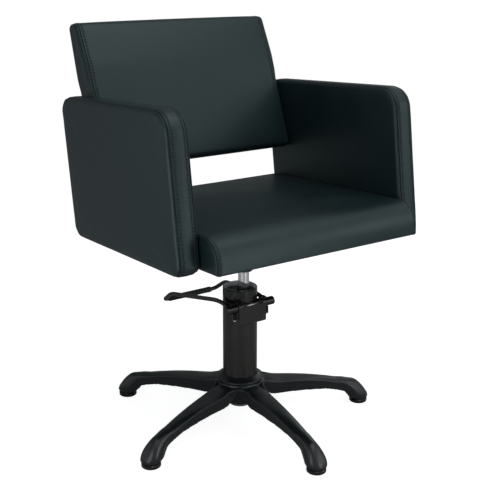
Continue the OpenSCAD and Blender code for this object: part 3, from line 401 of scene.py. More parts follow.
def makeCloth():
    # Thin non-woven cloth: pressed points in rows over loose fibres
    material, tree, shader = newFinish("blackCambric", Sheen_Weight=0.25)
    pressed = feed(tree, addNode(tree, "ShaderNodeTexVoronoi"), Vector=objectPlace(tree), Scale=650,
                   Randomness=0.15)
    points = pressed.outputs["Distance"]
    patches = groupNode(tree, mottleGroup, Scale=30.0)["Mask"]
    feed(tree, shader, Base_Color=mixTones(tree, patches, (0.012, 0.012, 0.013), (0.028, 0.028, 0.03)),
         Roughness=span(tree, points, 0.75, 0.95), Normal=bump(tree, points, 0.5, 0.0002))
    return material


vinylFinish = makeVinyl()
threadFinish = makeCoated("blackThread", rubber, 0.55, (0.012, 0.014, 0.016))
castFinish = makeCoated("blackPowderCoat", powder, 0.31, (0.0058, 0.0084, 0.0096), (0.0072, 0.0102, 0.0116))
paintFinish = makeCoated("columnPaint", paint, 0.25, (0.0112, 0.0106, 0.0094), (0.0148, 0.014, 0.0125))
capFinish = makeCoated("glossyBlack", plastic, 0.14, (0.006, 0.006, 0.0065))
ringFinish = makeRimmedPlastic()
hubFinish = makeCoated("glossPaint", paint, 0.2, (0.006, 0.0058, 0.0056), (0.0085, 0.0082, 0.0078))
glideFinish = makeCoated("glideBlack", plastic, 0.12, (0.005, 0.005, 0.0055))
chromeFinish = makeMetal("polishedChrome", (0.86, 0.87, 0.88), 0.05, 0.12, (1, 1, 0.08))
steelFinish = makeMetal("turnedSteel", (0.55, 0.56, 0.58), 0.24, 0.4, (1, 1, 6))
rubberFinish = makeCoated("mouldedRubber", rubber, 0.5, (0.008, 0.008, 0.0085))
timberFinish = makeTimber()
screwFinish = makeTippedSteel()
clothFinish = makeCloth()
print("finishes made")


# Outlines: corners with rounds, cut into a fixed number of points a side, so that rings match

roundSteps = 16
turnLength = 0.012  # a radian of turn takes as many points as this length of straight line


def cornerRound(before, corner, after, radius):
    toBefore = (before - corner).normalized()
    toAfter = (after - corner).normalized()
    half = toBefore.angle(toAfter) / 2
    centre = corner + (toBefore + toAfter).normalized() * radius / math.sin(half)
    start = corner + toBefore * radius / math.tan(half) - centre
    first = math.atan2(start.y, start.x)
    turn = math.pi - 2 * half
    angles = [first + turn * k / roundSteps for k in range(roundSteps + 1)]
    return [centre + radius * Vector((math.cos(a), math.sin(a))) for a in angles]


def movedIn(corners, inset):
    # Corners of the outline with every side moved inwards
    moved = []
    for i, corner in enumerate(corners):
        toBefore = (corners[i - 1] - corner).normalized()
        toAfter = (corners[(i + 1) % len(corners)] - corner).normalized()
        sine = math.sin(toBefore.angle(toAfter))
        moved.append(corner + (toBefore * inset + toAfter * inset) / sine)
    return moved


def sideCounts(shape, spacing):
    # Points along each of the four sides; opposite sides have the same number
    along, up = shape["spans"]
    return (max(4, round(along / spacing)), max(4, round(up / spacing)))


def ringOf(shape, inset, counts):
    # Ring of the outline, moved in, with its points spread along each side
    corners = movedIn([Vector(c) for c in shape["corners"]], inset)
    line, starts = [], []
    for i, corner in enumerate(corners):
        radius = shape["radii"][i]
        shrunk = max(radius - inset, radius / 5)
        arc = cornerRound(corners[i - 1], corner, corners[(i + 1) % len(corners)], shrunk)
        if i < 4:
            starts.append(len(line) + len(arc) // 2)
        line += arc
    ring = []
    for side in range(4):
        first = starts[side]
        last = starts[side + 1] if side < 3 else starts[0] + len(line)
        points = np.array([line[k % len(line)] for k in range(first, last + 1)])
        lengths = np.linalg.norm(np.diff(points, axis=0), axis=1)
        # Rounds take more points than straight stretches of the same length
        turns = np.zeros(len(lengths))
        directions = np.diff(points, axis=0) / lengths[:, None]
        bends = np.arccos(np.clip((directions[:-1] * directions[1:]).sum(1), -1, 1))
        turns[:-1] += bends / 2
        turns[1:] += bends / 2
        cost = np.concatenate([[0], np.cumsum(lengths + turns * turnLength)])
        wanted = np.linspace(0, cost[-1], counts[side % 2] + 1)[:-1]
        ring += list(zip(*[np.interp(wanted, cost, points[:, axis]) for axis in (0, 1)]))
    return np.array(ring)


def outwardOf(ring):
    along = np.roll(ring, -1, axis=0) - np.roll(ring, 1, axis=0)
    out = np.stack([along[:, 1], -along[:, 0]], axis=1)
    return out / np.linalg.norm(out, axis=1)[:, None]


def patchInside(ring, counts):
    # Grid between four sides of a ring
    nu, nv = counts
    total = len(ring)
    low = ring[:nu + 1]
    high = np.array([ring[(2 * nu + nv - i) % total] for i in range(nu + 1)])
    left = np.array([ring[(total - j) % total] for j in range(nv + 1)])
    right = ring[nu:nu + nv + 1]
    u = np.linspace(0, 1, nu + 1)[:, None, None]
    v = np.linspace(0, 1, nv + 1)[None, :, None]
    grid = (1 - v) * low[:, None] + v * high[:, None] + (1 - u) * left[None] + u * right[None]
    return grid - ((1 - u) * (1 - v) * low[0] + u * (1 - v) * low[-1]
                   + (1 - u) * v * high[0] + u * v * high[-1])


def padMesh(name, shape, stations, counts, lift):
    # Rings across the pad at each station (x, inset), closed by a patch at each end.
    # lift moves a ring's points outwards: it gets x, the ring and its outward normals.
    nu, nv = counts
    total = 2 * (nu + nv)
    points, faces = [], []
    for x, inset in stations:
        ring = ringOf(shape, inset, counts)
        ring = ring + lift(x, ring, outwardOf(ring))
        points += [(x, y, z) for y, z in ring]
    rings = len(stations)
    joinRings(faces, 0, rings, total)
    for end, bulge in ((0, -1), (rings - 1, 1)):
        ring = np.array([points[end * total + i][1:] for i in range(total)])
        grid = patchInside(ring, counts)
        ids = {}
        for i in range(nu + 1):
            for j in range(nv + 1):
                if j == 0:
                    ids[i, j] = end * total + i
                elif i == nu:
                    ids[i, j] = end * total + nu + j
                elif j == nv:
                    ids[i, j] = end * total + 2 * nu + nv - i
                elif i == 0:
                    ids[i, j] = end * total + total - j
                else:
                    ids[i, j] = len(points)
                    rise = 16 * (i / nu) * (1 - i / nu) * (j / nv) * (1 - j / nv)
                    x = stations[end][0] + bulge * shape["sideBulge"] * rise ** 0.5
                    points.append((x, *grid[i, j]))
        for i in range(nu):
            for j in range(nv):
                quad = (ids[i, j], ids[i + 1, j], ids[i + 1, j + 1], ids[i, j + 1])
                faces.append(quad if bulge > 0 else quad[::-1])
    return meshPiece(name, points, faces)


def readVertices(mesh, what="co"):
    values = np.empty(len(mesh.vertices) * 3, np.float32)
    mesh.vertices.foreach_get(what, values)
    return values.reshape(-1, 3).astype(float)


def moveVertices(mesh, co):
    mesh.vertices.foreach_set("co", co.astype(np.float32).ravel())
    mesh.update()


inflation = {"quality": 4, "mass": 0.3, "frames": 20}


def inflatePad(piece, pinned, cloth):
    # Cloth simulation under air pressure. Pinned points are the seams and what rests on a board.
    # The result is scaled so that no point moves further than the cap.
    group = piece.vertex_groups.new(name="held")
    group.add([int(i) for i in pinned], 1.0, "REPLACE")
    rest = readVertices(piece.data)
    modifier = piece.modifiers.new("cover", "CLOTH")
    settings = modifier.settings
    settings.quality = inflation["quality"]
    settings.mass = inflation["mass"]
    settings.tension_stiffness = settings.compression_stiffness = cloth["stiffness"]
    settings.shear_stiffness = cloth["stiffness"] / 2
    settings.bending_stiffness = cloth["bending"]
    settings.use_pressure = True
    settings.uniform_pressure_force = cloth["pressure"]
    settings.effector_weights.gravity = 0
    settings.vertex_group_mass = "held"
    modifier.collision_settings.use_collision = False
    modifier.point_cache.frame_start = 1
    modifier.point_cache.frame_end = inflation["frames"]
    for step in range(inflation["frames"]):
        scene.frame_set(step + 1)
    evaluated = piece.evaluated_get(bpy.context.evaluated_depsgraph_get())
    travel = readVertices(evaluated.data) - rest
    piece.modifiers.clear()
    piece.vertex_groups.clear()
    scene.frame_set(1)
    furthest = np.linalg.norm(travel, axis=1).max()
    print("  cloth on", piece.name, "moved", round(furthest * 1000, 1), "mm")
    moveVertices(piece.data, rest + travel * min(1, cloth["cap"] / max(furthest, 1e-6)))


sideBlur = [0.25, 0.5, 0.25]  # each point of a pucker and its two neighbours


def sewSeam(piece, at, way, total, seam, seed):
    # Draws the seam at a station in by its depth, and puckers the cover on both sides of it
    co = readVertices(piece.data)
    normals = readVertices(piece.data, "normal")
    random = np.random.default_rng(seed)
    for order, step in enumerate((0, 1, -1, 2, -2)):
        ring = np.arange(total) + (at + way * step) * total
        if order == 0:
            depth = -seam["seamDepth"] * np.ones(total)
        else:
            wave = np.convolve(np.tile(random.normal(0, 1, total), 3), sideBlur, "same")[total:2 * total]
            depth = seam["pucker"] * wave * math.exp(-(order - 1) / 2)
        co[ring] += normals[ring] * depth[:, None]
    moveVertices(piece.data, co)


def seamCount(row):
    # Stitches round a closed row, and its length up to each point
    steps = np.linalg.norm(np.roll(row, -1, axis=0) - row, axis=1)
    lengths = np.concatenate([[0], np.cumsum(steps)])
    return int(lengths[-1] / stitch["Pitch"]) + 1, lengths


noSeam = -60  # millimetres, further than any seam's work reaches


def mapSeams(piece, stations, total, seams):
    # Writes the seam map. seams lists (station of the seam, station of its row, direction of its row).
    co = readVertices(piece.data)
    profile = np.array(stations)
    reach = np.concatenate([[0], np.cumsum(np.linalg.norm(np.diff(profile, axis=0), axis=1))])
    across = np.full(len(stations), np.inf)
    nearest = np.zeros(len(stations), int)
    counts = []
    for n, (at, row, way) in enumerate(seams):
        distance = way * (reach - reach[at]) * 1000
        closer = np.abs(distance) < np.abs(across)
        across[closer] = distance[closer]
        nearest[closer] = n
        number, lengths = seamCount(co[row * total:(row + 1) * total])
        counts.append(lengths / lengths[-1] * number)
    layer = piece.data.uv_layers.new(name="seam")
    values = np.zeros((len(piece.data.loops), 2), np.float32)
    for face in piece.data.polygons:
        ids = [piece.data.loops[k].vertex_index for k in face.loop_indices]
        turns = [i % total for i in ids if i < len(stations) * total]
        wraps = 0 in turns and total - 1 in turns
        for k, i in zip(face.loop_indices, ids):
            station, turn = divmod(i, total)
            if station >= len(stations):
                values[k] = (0, noSeam)
            else:
                place = total if wraps and turn == 0 else turn
                values[k] = (counts[nearest[station]][place], across[station])
    layer.data.foreach_set("uv", values.ravel())


def rowPaths(piece, rows, total, place):
    # One closed line just above the cover for each row's station
    co = readVertices(piece.data) + readVertices(piece.data, "normal") * threadRise
    return [([place @ Vector(co[row * total + i]) for i in range(total)], True) for row in rows]


def placeUnit(piece):
    # From the level unit to its tipped place over the column
    piece.data.transform(unitToWorld)
    piece.data.update()


def smoothOnce(piece):
    subdivision = piece.modifiers.new("finer", "SUBSURF")
    subdivision.levels = subdivision.render_levels = 1
    subdivision.uv_smooth = "NONE"
    return bakeModifiers(piece)


# Stitches: one small thread loop after another along a path, made by Geometry Nodes

stitch = {"Pitch": 0.0069, "Length": 0.0054, "Thickness": 0.0011}
threadRise = 0.0002  # height of a stitch's middle above the cover


def makeStitchTree():
    tree = bpy.data.node_groups.new("stitchRow", "GeometryNodeTree")
    face = tree.interface
    face.new_socket("Geometry", in_out="INPUT", socket_type="NodeSocketGeometry")
    for label, value in stitch.items():
        face.new_socket(label, in_out="INPUT", socket_type="NodeSocketFloat").default_value = value
    face.new_socket("Thread", in_out="INPUT", socket_type="NodeSocketMaterial")
    face.new_socket("Geometry", in_out="OUTPUT", socket_type="NodeSocketGeometry")
    source = addNode(tree, "NodeGroupInput").outputs
    path = feed(tree, addNode(tree, "GeometryNodeMeshToCurve"), Mesh=source["Geometry"])
    dots = feed(tree, addNode(tree, "GeometryNodeCurveToPoints", mode="LENGTH"),
                Curve=path.outputs["Curve"], Length=source["Pitch"])
    loop = feed(tree, addNode(tree, "GeometryNodeMeshUVSphere"), Segments=6, Rings=5, Radius=0.5)
    sizes = feed(tree, addNode(tree, "ShaderNodeCombineXYZ"),
                 X=source["Thickness"], Y=source["Thickness"], Z=source["Length"])
    copies = feed(tree, addNode(tree, "GeometryNodeInstanceOnPoints"), Points=dots.outputs["Points"],
                  Instance=loop.outputs["Mesh"], Rotation=dots.outputs["Rotation"],
                  Scale=sizes.outputs["Vector"])
    real = feed(tree, addNode(tree, "GeometryNodeRealizeInstances"), Geometry=copies.outputs["Instances"])
    soft = feed(tree, addNode(tree, "GeometryNodeSetShadeSmooth"), Geometry=real.outputs["Geometry"])
    thread = feed(tree, addNode(tree, "GeometryNodeSetMaterial"), Geometry=soft.outputs["Geometry"],
                  Material=source["Thread"])
    feed(tree, addNode(tree, "NodeGroupOutput"), Geometry=thread.outputs["Geometry"])
    return tree


stitchTree = makeStitchTree()


def setInputs(modifier, **values):
    for item in modifier.node_group.interface.items_tree:
        if item.item_type == "SOCKET" and item.in_out == "INPUT" and item.name in values:
            modifier[item.identifier] = values[item.name]


def stitchRows(name, rows, body, slot="vinyl", **values):
    # rows are closed or open lists of points that lie on a cover
    points, edges = [], []
    for row, closed in rows:
        first = len(points)
        points += [tuple(p) for p in row]
        edges += [(first + k, first + k + 1) for k in range(len(row) - 1)]
        if closed:
            edges.append((len(points) - 1, first))
    mesh = bpy.data.meshes.new(name)
    mesh.from_pydata(points, edges, [])
    piece = linkPiece(name, mesh)
    modifier = piece.modifiers.new("stitches", "NODES")
    modifier.node_group = stitchTree
    setInputs(modifier, **{"Thread": threadFinish, **stitch, **values})
    bakeModifiers(piece)
    return finishPiece(piece, body)


# Seat cushion: one wrap over the top, nose and underside, with a gusset at each side

seat = {"front": 0.296, "rear": 0.206, "thick": 0.069, "halfWidth": 0.2465, "nose": 0.044, "low": 0.005,
        "rearTop": 0.014, "edge": 0.006, "sideAngles": (90, 72, 58, 45, 32, 16, 0), "seamAngle": 45,
        "row": 0.006, "crown": 0.0045, "spacing": 0.0068, "seamDepth": 0.0014, "pucker": 0.00018,
        "restsBelow": 0.004, "seed": 11}
seatCloth = {"pressure": 3.5, "stiffness": 18, "bending": 0.6, "cap": 0.004}
seatShape = {
    "corners": [(-seat["front"], 0), (seat["rear"], 0), (seat["rear"], seat["thick"]),
                (-seat["front"], seat["thick"])],
    "radii": [seat["low"], seat["low"], seat["rearTop"], seat["nose"]],
    "spans": (seat["front"] + seat["rear"], seat["thick"] + 0.02), "sideBulge": 0.0008}
rowSide = 0.0018  # from a row of stitches to the ring on each side of it
leastStep = 0.0004  # rings closer than this to the rounded side are left out


def crossStations(wrap):
    # Places across a wrap: the rounded side with the seam in it, rows beside the stitches, then
    # even steps. Also gives the numbers of the seam's and the row's stations.
    edge, halfWidth = wrap["edge"], wrap["halfWidth"]
    side = [(1 - math.sin(math.radians(a)), 1 - math.cos(math.radians(a))) for a in wrap["sideAngles"]]
    left = [(-halfWidth + edge * s[0], edge * s[1]) for s in side]
    rowIn = edge + wrap["row"] - edge * math.radians(wrap["seamAngle"])
    beside = (rowIn - rowSide, rowIn, rowIn + rowSide)
    left += [(-halfWidth + c, 0) for c in beside if c > edge + leastStep]
    rowAt = [k for k, station in enumerate(left) if abs(station[0] + halfWidth - rowIn) < 1e-6][0]
    inner = -left[-1][0]
    steps = max(2, round(2 * inner / wrap["spacing"]))
    middle = [(-inner + 2 * inner * k / steps, 0) for k in range(1, steps)]
    stations = left + middle + [(-x, inset) for x, inset in reversed(left)]
    return stations, wrap["sideAngles"].index(wrap["seamAngle"]), rowAt


def wrapLift(halfWidth, *swells):
    # Each swell is (rise, direction in Y and Z in which it rises)
    def lift(x, ring, outward):
        total = np.zeros(len(ring))
        for rise, way in swells:
            way = np.array(way) / np.linalg.norm(way)
            spans = ring @ np.array([-way[1], way[0]])
            middle = (spans.max() + spans.min()) / 2
            half = (spans.max() - spans.min()) / 2
            total += rise * np.clip(outward @ way, 0, None) * (1 - ((spans - middle) / half) ** 2)
        return outward * (total * (1 - (x / halfWidth) ** 4))[:, None]
    return lift


def sewWrap(piece, wrap, stations, total, seamAt, rowAt, cloth, resting, stitchName):
    # Inflates a wrap, sews both of its side seams and places it on the unit
    last = len(stations) - 1
    seams = [(seamAt, rowAt, 1), (last - seamAt, last - rowAt, -1)]
    inflatePad(piece, [at * total + i for at, _, _ in seams for i in range(total)] + resting, cloth)
    for n, (at, _, way) in enumerate(seams):
        sewSeam(piece, at, way, total, wrap, wrap["seed"] + n)
    mapSeams(piece, stations, total, seams)
    paths = rowPaths(piece, [row for _, row, _ in seams], total, unitToWorld)
    placeUnit(smoothOnce(piece))
    stitchRows(stitchName, paths, "seat")


def makeSeatCushion():
    counts = sideCounts(seatShape, seat["spacing"])
    stations, seamAt, rowAt = crossStations(seat)
    piece = padMesh("seatCushionCover", seatShape, stations, counts,
                    wrapLift(seat["halfWidth"], (seat["crown"], (0, 1))))
    resting = list(np.nonzero(readVertices(piece.data)[:, 2] < seat["restsBelow"])[0])
    sewWrap(piece, seat, stations, 2 * sum(counts), seamAt, rowAt, seatCloth, resting, "seatStitches")
    finishPiece(piece, "seat", vinylFinish, ["seat_cushion"])
    print("seat cushion made")


makeSeatCushion()


# Arms: an outer and an inner panel joined by a band, with a seam at each edge of the band

arm = {"front": 0.246, "depth": 0.458, "height": 0.303, "drop": 0.006, "lean": 0.026,
       "radii": [0.024, 0.030, 0.032, 0.047], "inner": 0.248, "innerThick": 0.006, "innerRound": 0.010,
       "innerAngles": (90, 70, 50, 32, 14), "band": 0.038, "row": (0.0014, 0.0036, 0.0060), "bandSteps": 4,
       "outerThick": 0.008, "outerRound": 0.016, "outerAngles": (12, 28, 46, 68, 90), "spacing": 0.0072,
       "bandCrown": 0.0022, "outerCrown": 0.0016, "seamDepth": 0.0024, "pucker": 0.00022, "seed": 31}
armCloth = {"pressure": 3.0, "stiffness": 20, "bending": 0.8, "cap": 0.003}
armShape = {
    "corners": [(-arm["front"], -arm["drop"]), (arm["depth"] - arm["front"], -arm["drop"]),
                (arm["depth"] - arm["front"] + arm["lean"], arm["height"] - arm["drop"]),
                (arm["lean"] - arm["front"], arm["height"] - arm["drop"])],
    "radii": arm["radii"], "spans": (arm["depth"], arm["height"]), "sideBulge": arm["outerCrown"]}


def panelEdge(angles, seamX, thick, radius):
    # Places across a panel's rounded edge, from the angles on its round
    return [(seamX + thick * math.sin(math.radians(a)), radius * (1 - math.cos(math.radians(a))))
            for a in angles]


def makeArm(name, side, replaced):
    # Shaped on the right at +X. The left arm is its mirror image. The rings beside each seam are in
    # arm["row"], and its stitches run on the last of them.
    seamIn = arm["inner"] + arm["innerThick"]
    seamOut = seamIn + arm["band"]
    rowIn, steps = arm["row"][-1], arm["bandSteps"]
    stretch = arm["band"] - 2 * rowIn
    band = [(seamIn, 0)] + [(seamIn + c, 0) for c in arm["row"]]
    band += [(seamIn + rowIn + stretch * k / steps, 0) for k in range(1, steps)]
    band += [(seamOut - c, 0) for c in reversed(arm["row"])] + [(seamOut, 0)]
    inside = panelEdge(arm["innerAngles"], seamIn, -arm["innerThick"], arm["innerRound"])
    outside = panelEdge(arm["outerAngles"], seamOut, arm["outerThick"], arm["outerRound"])
    stations = inside + band + outside
    first, last = len(inside), len(inside) + len(band) - 1
    rows = (first + len(arm["row"]), last - len(arm["row"]))
    counts = sideCounts(armShape, arm["spacing"])
    total = 2 * sum(counts)
    middle = (seamIn + seamOut) / 2

    def lift(x, ring, outward):
        share = 1 - ((x - middle) / (arm["band"] / 2)) ** 2
        return outward * max(0, share) * arm["bandCrown"]

    piece = padMesh(name, armShape, stations, counts, lift)
    inflatePad(piece, [at * total + i for at in (first, last) for i in range(total)], armCloth)
    for n, at in enumerate((first, last)):
        sewSeam(piece, at, 1, total, arm, arm["seed"] + n + (2 if side < 0 else 0))
    mapSeams(piece, stations, total, [(first, rows[0], 1), (last, rows[1], -1)])
    flip = Matrix.Diagonal((side, 1, 1, 1))
    paths = rowPaths(piece, rows, total, unitToWorld @ flip)
    smoothOnce(piece)
    piece.data.transform(flip)
    if side < 0:
        piece.data.flip_normals()
    placeUnit(piece)
    finishPiece(piece, "seat", vinylFinish, replaced)
    stitchRows(name + "Stitches", paths, "seat")
    print(name, "made")


makeArm("rightArmCover", 1, ["right_arm_outer_pad", "right_arm_band", "right_arm_inner_pad"])
makeArm("leftArmCover", -1, ["left_arm_outer_pad", "left_arm_band", "left_arm_inner_pad"])


# Back: a wedge with one wrap round it and a gusset at each side that comes round to the front

back = {"front": 0.133, "low": 0.141, "height": 0.309, "lowThick": 0.080, "topThick": 0.040, "lean": 0.110,
        "knee": 0.72, "kneeLean": 0.648, "corner": 0.013, "kneeRound": 0.12, "halfWidth": 0.2465,
        "edge": 0.011, "sideAngles": (90, 70, 50, 33, 21, 13, 6, 0), "seamAngle": 13, "row": 0.006,
        "crown": 0.003, "topCrown": 0.0015, "flare": 0.0026, "flareFrom": 0.298, "flareOver": 0.03,
        "spacing": 0.0068, "seamDepth": 0.0013, "pucker": 0.00018, "seed": 51}
backCloth = {"pressure": 3.0, "stiffness": 20, "bending": 0.8, "cap": 0.003}
backTop = back["low"] + back["height"]
backShape = {
    "corners": [(back["front"], back["low"]), (back["front"] + back["lowThick"], back["low"]),
                (back["front"] + back["lean"] + back["topThick"], backTop),
                (back["front"] + back["lean"], backTop),
                (back["front"] + back["lean"] * back["kneeLean"],
                 back["low"] + back["height"] * back["knee"])],
    "radii": [back["corner"]] * 4 + [back["kneeRound"]],
    "spans": (0.07, back["height"] + 0.02), "sideBulge": 0.0008}


def makeBack():
    counts = sideCounts(backShape, back["spacing"])
    stations, seamAt, rowAt = crossStations(back)
    up = (back["lean"], back["height"])
    lift = wrapLift(back["halfWidth"], (back["crown"], (-up[1], up[0])), (back["topCrown"], up))
    piece = padMesh("backCushionCover", backShape, stations, counts, lift)
    # Above the arms nothing holds the sides in, so they stand out a little
    co = readVertices(piece.data)
    free = np.clip((co[:, 2] - back["flareFrom"]) / back["flareOver"], 0, 1)
    nearSide = (co[:, 0] / back["halfWidth"]) ** 12
    co[:, 0] += back["flare"] * free * free * (3 - 2 * free) * np.sign(co[:, 0]) * nearSide
    moveVertices(piece.data, co)
    sewWrap(piece, back, stations, 2 * sum(counts), seamAt, rowAt, backCloth, [], "backStitches")
    finishPiece(piece, "seat", vinylFinish, ["back_front_pad", "back_rear_pad"])
    print("back cushion made")


makeBack()


# Dust cover: thin cloth stapled under the seat board, with a square hole for the seat plate

cover = {"halfWidth": 0.232, "front": 0.247, "rear": 0.185, "hole": 0.0952, "thick": 0.0006, "gap": 0.0003,
         "sag": 0.0045, "sagOver": 0.035, "ripple": 0.15, "spacing": 0.0075, "hem": 0.011, "seed": 71}
staple = {"Pitch": 0.042, "Length": 0.011, "Thickness": 0.0011}
stapleDrop = 0.0003  # from the cloth's underside to a staple's middle


def spread(low, high, spacing):
    return np.linspace(low, high, max(2, round((high - low) / spacing)) + 1)


def coverDrop(x, y, random):
    # The cloth hangs a little between the staples at its rims
    toRim = min(cover["halfWidth"] - abs(x), y + cover["front"], cover["rear"] - y)
    toHole = max(abs(x), abs(y)) - cover["hole"]
    slack = min(max(min(toRim, toHole) - cover["hem"], 0) / cover["sagOver"], 1)
    return cover["sag"] * slack * slack * (3 - 2 * slack) * (1 - cover["ripple"] + cover["ripple"] * random)


def coverLines(low, high):
    # Grid lines across the cloth, with one on each rim of the hole
    hole, spacing = cover["hole"], cover["spacing"]
    return np.concatenate([spread(low, -hole, spacing)[:-1], spread(-hole, hole, spacing),
                           spread(hole, high, spacing)[1:]])


def makeDustCover():
    random = np.random.default_rng(cover["seed"])
    hole = cover["hole"]
    xs = coverLines(-cover["halfWidth"], cover["halfWidth"])
    ys = coverLines(-cover["front"], cover["rear"])
    ids, points, faces = {}, [], []
    for i, x in enumerate(xs):
        for j, y in enumerate(ys):
            if max(abs(x), abs(y)) > hole - 1e-6:
                ids[i, j] = len(points)
                points.append((x, y, -cover["gap"] - coverDrop(x, y, random.normal())))
    for i in range(len(xs) - 1):
        for j in range(len(ys) - 1):
            corners = [ids.get(c) for c in ((i, j), (i, j + 1), (i + 1, j + 1), (i + 1, j))]
            middle = max(abs(xs[i] + xs[i + 1]), abs(ys[j] + ys[j + 1])) / 2
            if None not in corners and middle > hole:
                faces.append(corners)
    piece = meshPiece("dustCoverCloth", points, faces)
    body = piece.modifiers.new("thickness", "SOLIDIFY")
    body.thickness = cover["thick"]
    body.offset = 0
    placeUnit(smoothOnce(bakeModifiers(piece)))
    finishPiece(piece, "seat", clothFinish, ["dust_cover"])
    low = -cover["gap"] - cover["thick"] / 2 - stapleDrop
    rows = []
    for inset, (left, right, near, far) in (
            (cover["hem"] / 2, (-cover["halfWidth"], cover["halfWidth"], -cover["front"], cover["rear"])),
            (-cover["hem"] / 2, (-hole, hole, -hole, hole))):
        left, right, near, far = left + inset, right - inset, near + inset, far - inset
        corners = [(left, near, low), (right, near, low), (right, far, low), (left, far, low)]
        rows.append(([unitToWorld @ Vector(c) for c in corners], True))
    staples = stitchRows("dustCoverStaples", rows, "seat", "steel", Thread=steelFinish, **staple)
    print("dust cover made")


makeDustCover()


# Star base: five swan-necked channel legs fused with a hub, as one casting

star = {"legs": 5, "startRadius": 0.030, "glideCircle": 0.295, "nose": 0.022, "neckBack": 1.75,
        "rootHalfWidth": 0.027, "footHalfWidth": 0.02275, "rootHeight": 0.097, "glideTop": 0.013,
        "wall": 0.0042, "crown": 0.007, "draft": 0.11, "turn": -1.2, "lengthSteps": 56, "acrossSteps": 20,
        "voxel": 0.00204, "smoothing": 3}
# Each list runs outwards, with one number for each place in shares. Heights are shares of the
# root's, and widths of the half width. Domes say how far the middle of the top stands above its
# edges, as a share of the crown: nearly flat on the leg, round on the foot.
leg = {"shares": [0, 0.12, 0.18, 0.28, 0.45, 0.62, 0.8, 0.91, 1],
       "widths": [1, 0.98, 0.93, 0.84, 0.72, 0.63, 0.57, 0.565, 0.57],
       "ridges": [0.975, 0.94, 0.942, 0.92, 0.892, 0.853, 0.793, 0.734, 0.699],
       "skirts": [0.84, 0.655, 0.552, 0.533, 0.525, 0.5, 0.462, 0.405, 0.33],
       "crowns": [1, 1, 1, 1, 1.05, 1.2, 1.5, 1.68, 1.9],
       "domes": [1.05, 1.0, 0.85, 0.6, 0.45, 0.5, 0.6, 0.67, 0.75]}
foot = {"shares": [-1.15, -0.7, -0.3, 0.1, 0.45, 0.72, 0.9, 1],
        "widths": [0.76, 0.9, 0.98, 1, 0.9, 0.72, 0.5, 0.22],
        "ridges": [0.658, 0.612, 0.56, 0.478, 0.385, 0.298, 0.235, 0.178],
        "crowns": [0.42, 0.66, 0.82, 0.85, 0.85, 0.85, 0.85, 0.85],
        "domes": [0.9, 1, 1, 1, 1, 1, 1, 1]}


def smoothTable(places, values, wanted):
    # Cubic through the values at the places, with the slopes of their neighbours
    places, values = np.array(places, float), np.array(values, float)
    slopes = np.gradient(values, places)
    k = np.clip(np.searchsorted(places, wanted) - 1, 0, len(places) - 2)
    width = places[k + 1] - places[k]
    t = (wanted - places[k]) / width
    return ((2 * t ** 3 - 3 * t ** 2 + 1) * values[k] + (t ** 3 - 2 * t ** 2 + t) * width * slopes[k]
            + (3 * t ** 2 - 2 * t ** 3) * values[k + 1] + (t ** 3 - t ** 2) * width * slopes[k + 1])


def legTables():
    # Radius, half width, ridge, skirt, crown and dome along a leg, and the radius where its foot starts
    neck = star["glideCircle"] - star["neckBack"] * star["nose"]
    places = [star["startRadius"] + (neck - star["startRadius"]) * s for s in leg["shares"]]
    footStart = star["glideCircle"] + star["nose"] * foot["shares"][0]
    places += [star["glideCircle"] + star["nose"] * s for s in foot["shares"]]
    widths = [w * star["rootHalfWidth"] for w in leg["widths"]]
    widths += [w * star["footHalfWidth"] for w in foot["widths"]]
    ridges = [r * star["rootHeight"] for r in leg["ridges"] + foot["ridges"]]
    skirts = [s * star["rootHeight"] for s in leg["skirts"]] + [star["glideTop"]] * len(foot["shares"])
    crowns = [c * star["crown"] for c in leg["crowns"]]
    crowns += [c * (ridge - star["glideTop"]) for c, ridge in zip(foot["crowns"], ridges[len(crowns):])]
    steps = star["lengthSteps"]
    wanted = np.concatenate([np.linspace(places[0], footStart, steps, endpoint=False),
                             np.linspace(footStart, places[-1], steps // 2)])
    width, ridge, crown, dome = [smoothTable(places, values, wanted)
                                 for values in (widths, ridges, crowns, leg["domes"] + foot["domes"])]
    skirt = np.maximum(np.interp(wanted, places, skirts), star["glideTop"])
    return wanted, width, ridge, skirt, crown, crown * dome, footStart


def outFrom(turn, r, t, z):
    # Place at radius r and t to the side, on a leg turned from X
    return (r * math.cos(turn) - t * math.sin(turn), r * math.sin(turn) + t * math.cos(turn), z)


def makeLegMesh(points, faces, turn):
    # A channel that is open below as far as the foot, which is solid
    across = star["acrossSteps"]
    radii, widths, ridges, skirts, crowns, domes, footStart = legTables()
    start = len(points)
    for r, w, ridge, skirt, crown, dome in zip(radii, widths, ridges, skirts, crowns, domes):
        arc = [(w * math.cos(math.pi * k / across), ridge - crown + dome * math.sin(math.pi * k / across))
               for k in range(across + 1)]
        low = w - star["draft"] * (ridge - crown - skirt)
        outer = [(low, skirt)] + arc + [(-low, skirt)]
        inner = [(t * (w - star["wall"]) / w, max(skirt, z - star["wall"]) if r < footStart else skirt)
                 for t, z in reversed(outer)]
        points += [outFrom(turn, r, t, z) for t, z in outer + inner]
    ring = 2 * (across + 3)
    joinRings(faces, start, len(radii), ring)
    for a, flip in ((start, False), (start + (len(radii) - 1) * ring, True)):
        for i in range(across + 2):
            quad = (a + i, a + ring - 1 - i, a + ring - 2 - i, a + i + 1)
            faces.append(quad[::-1] if flip else quad)


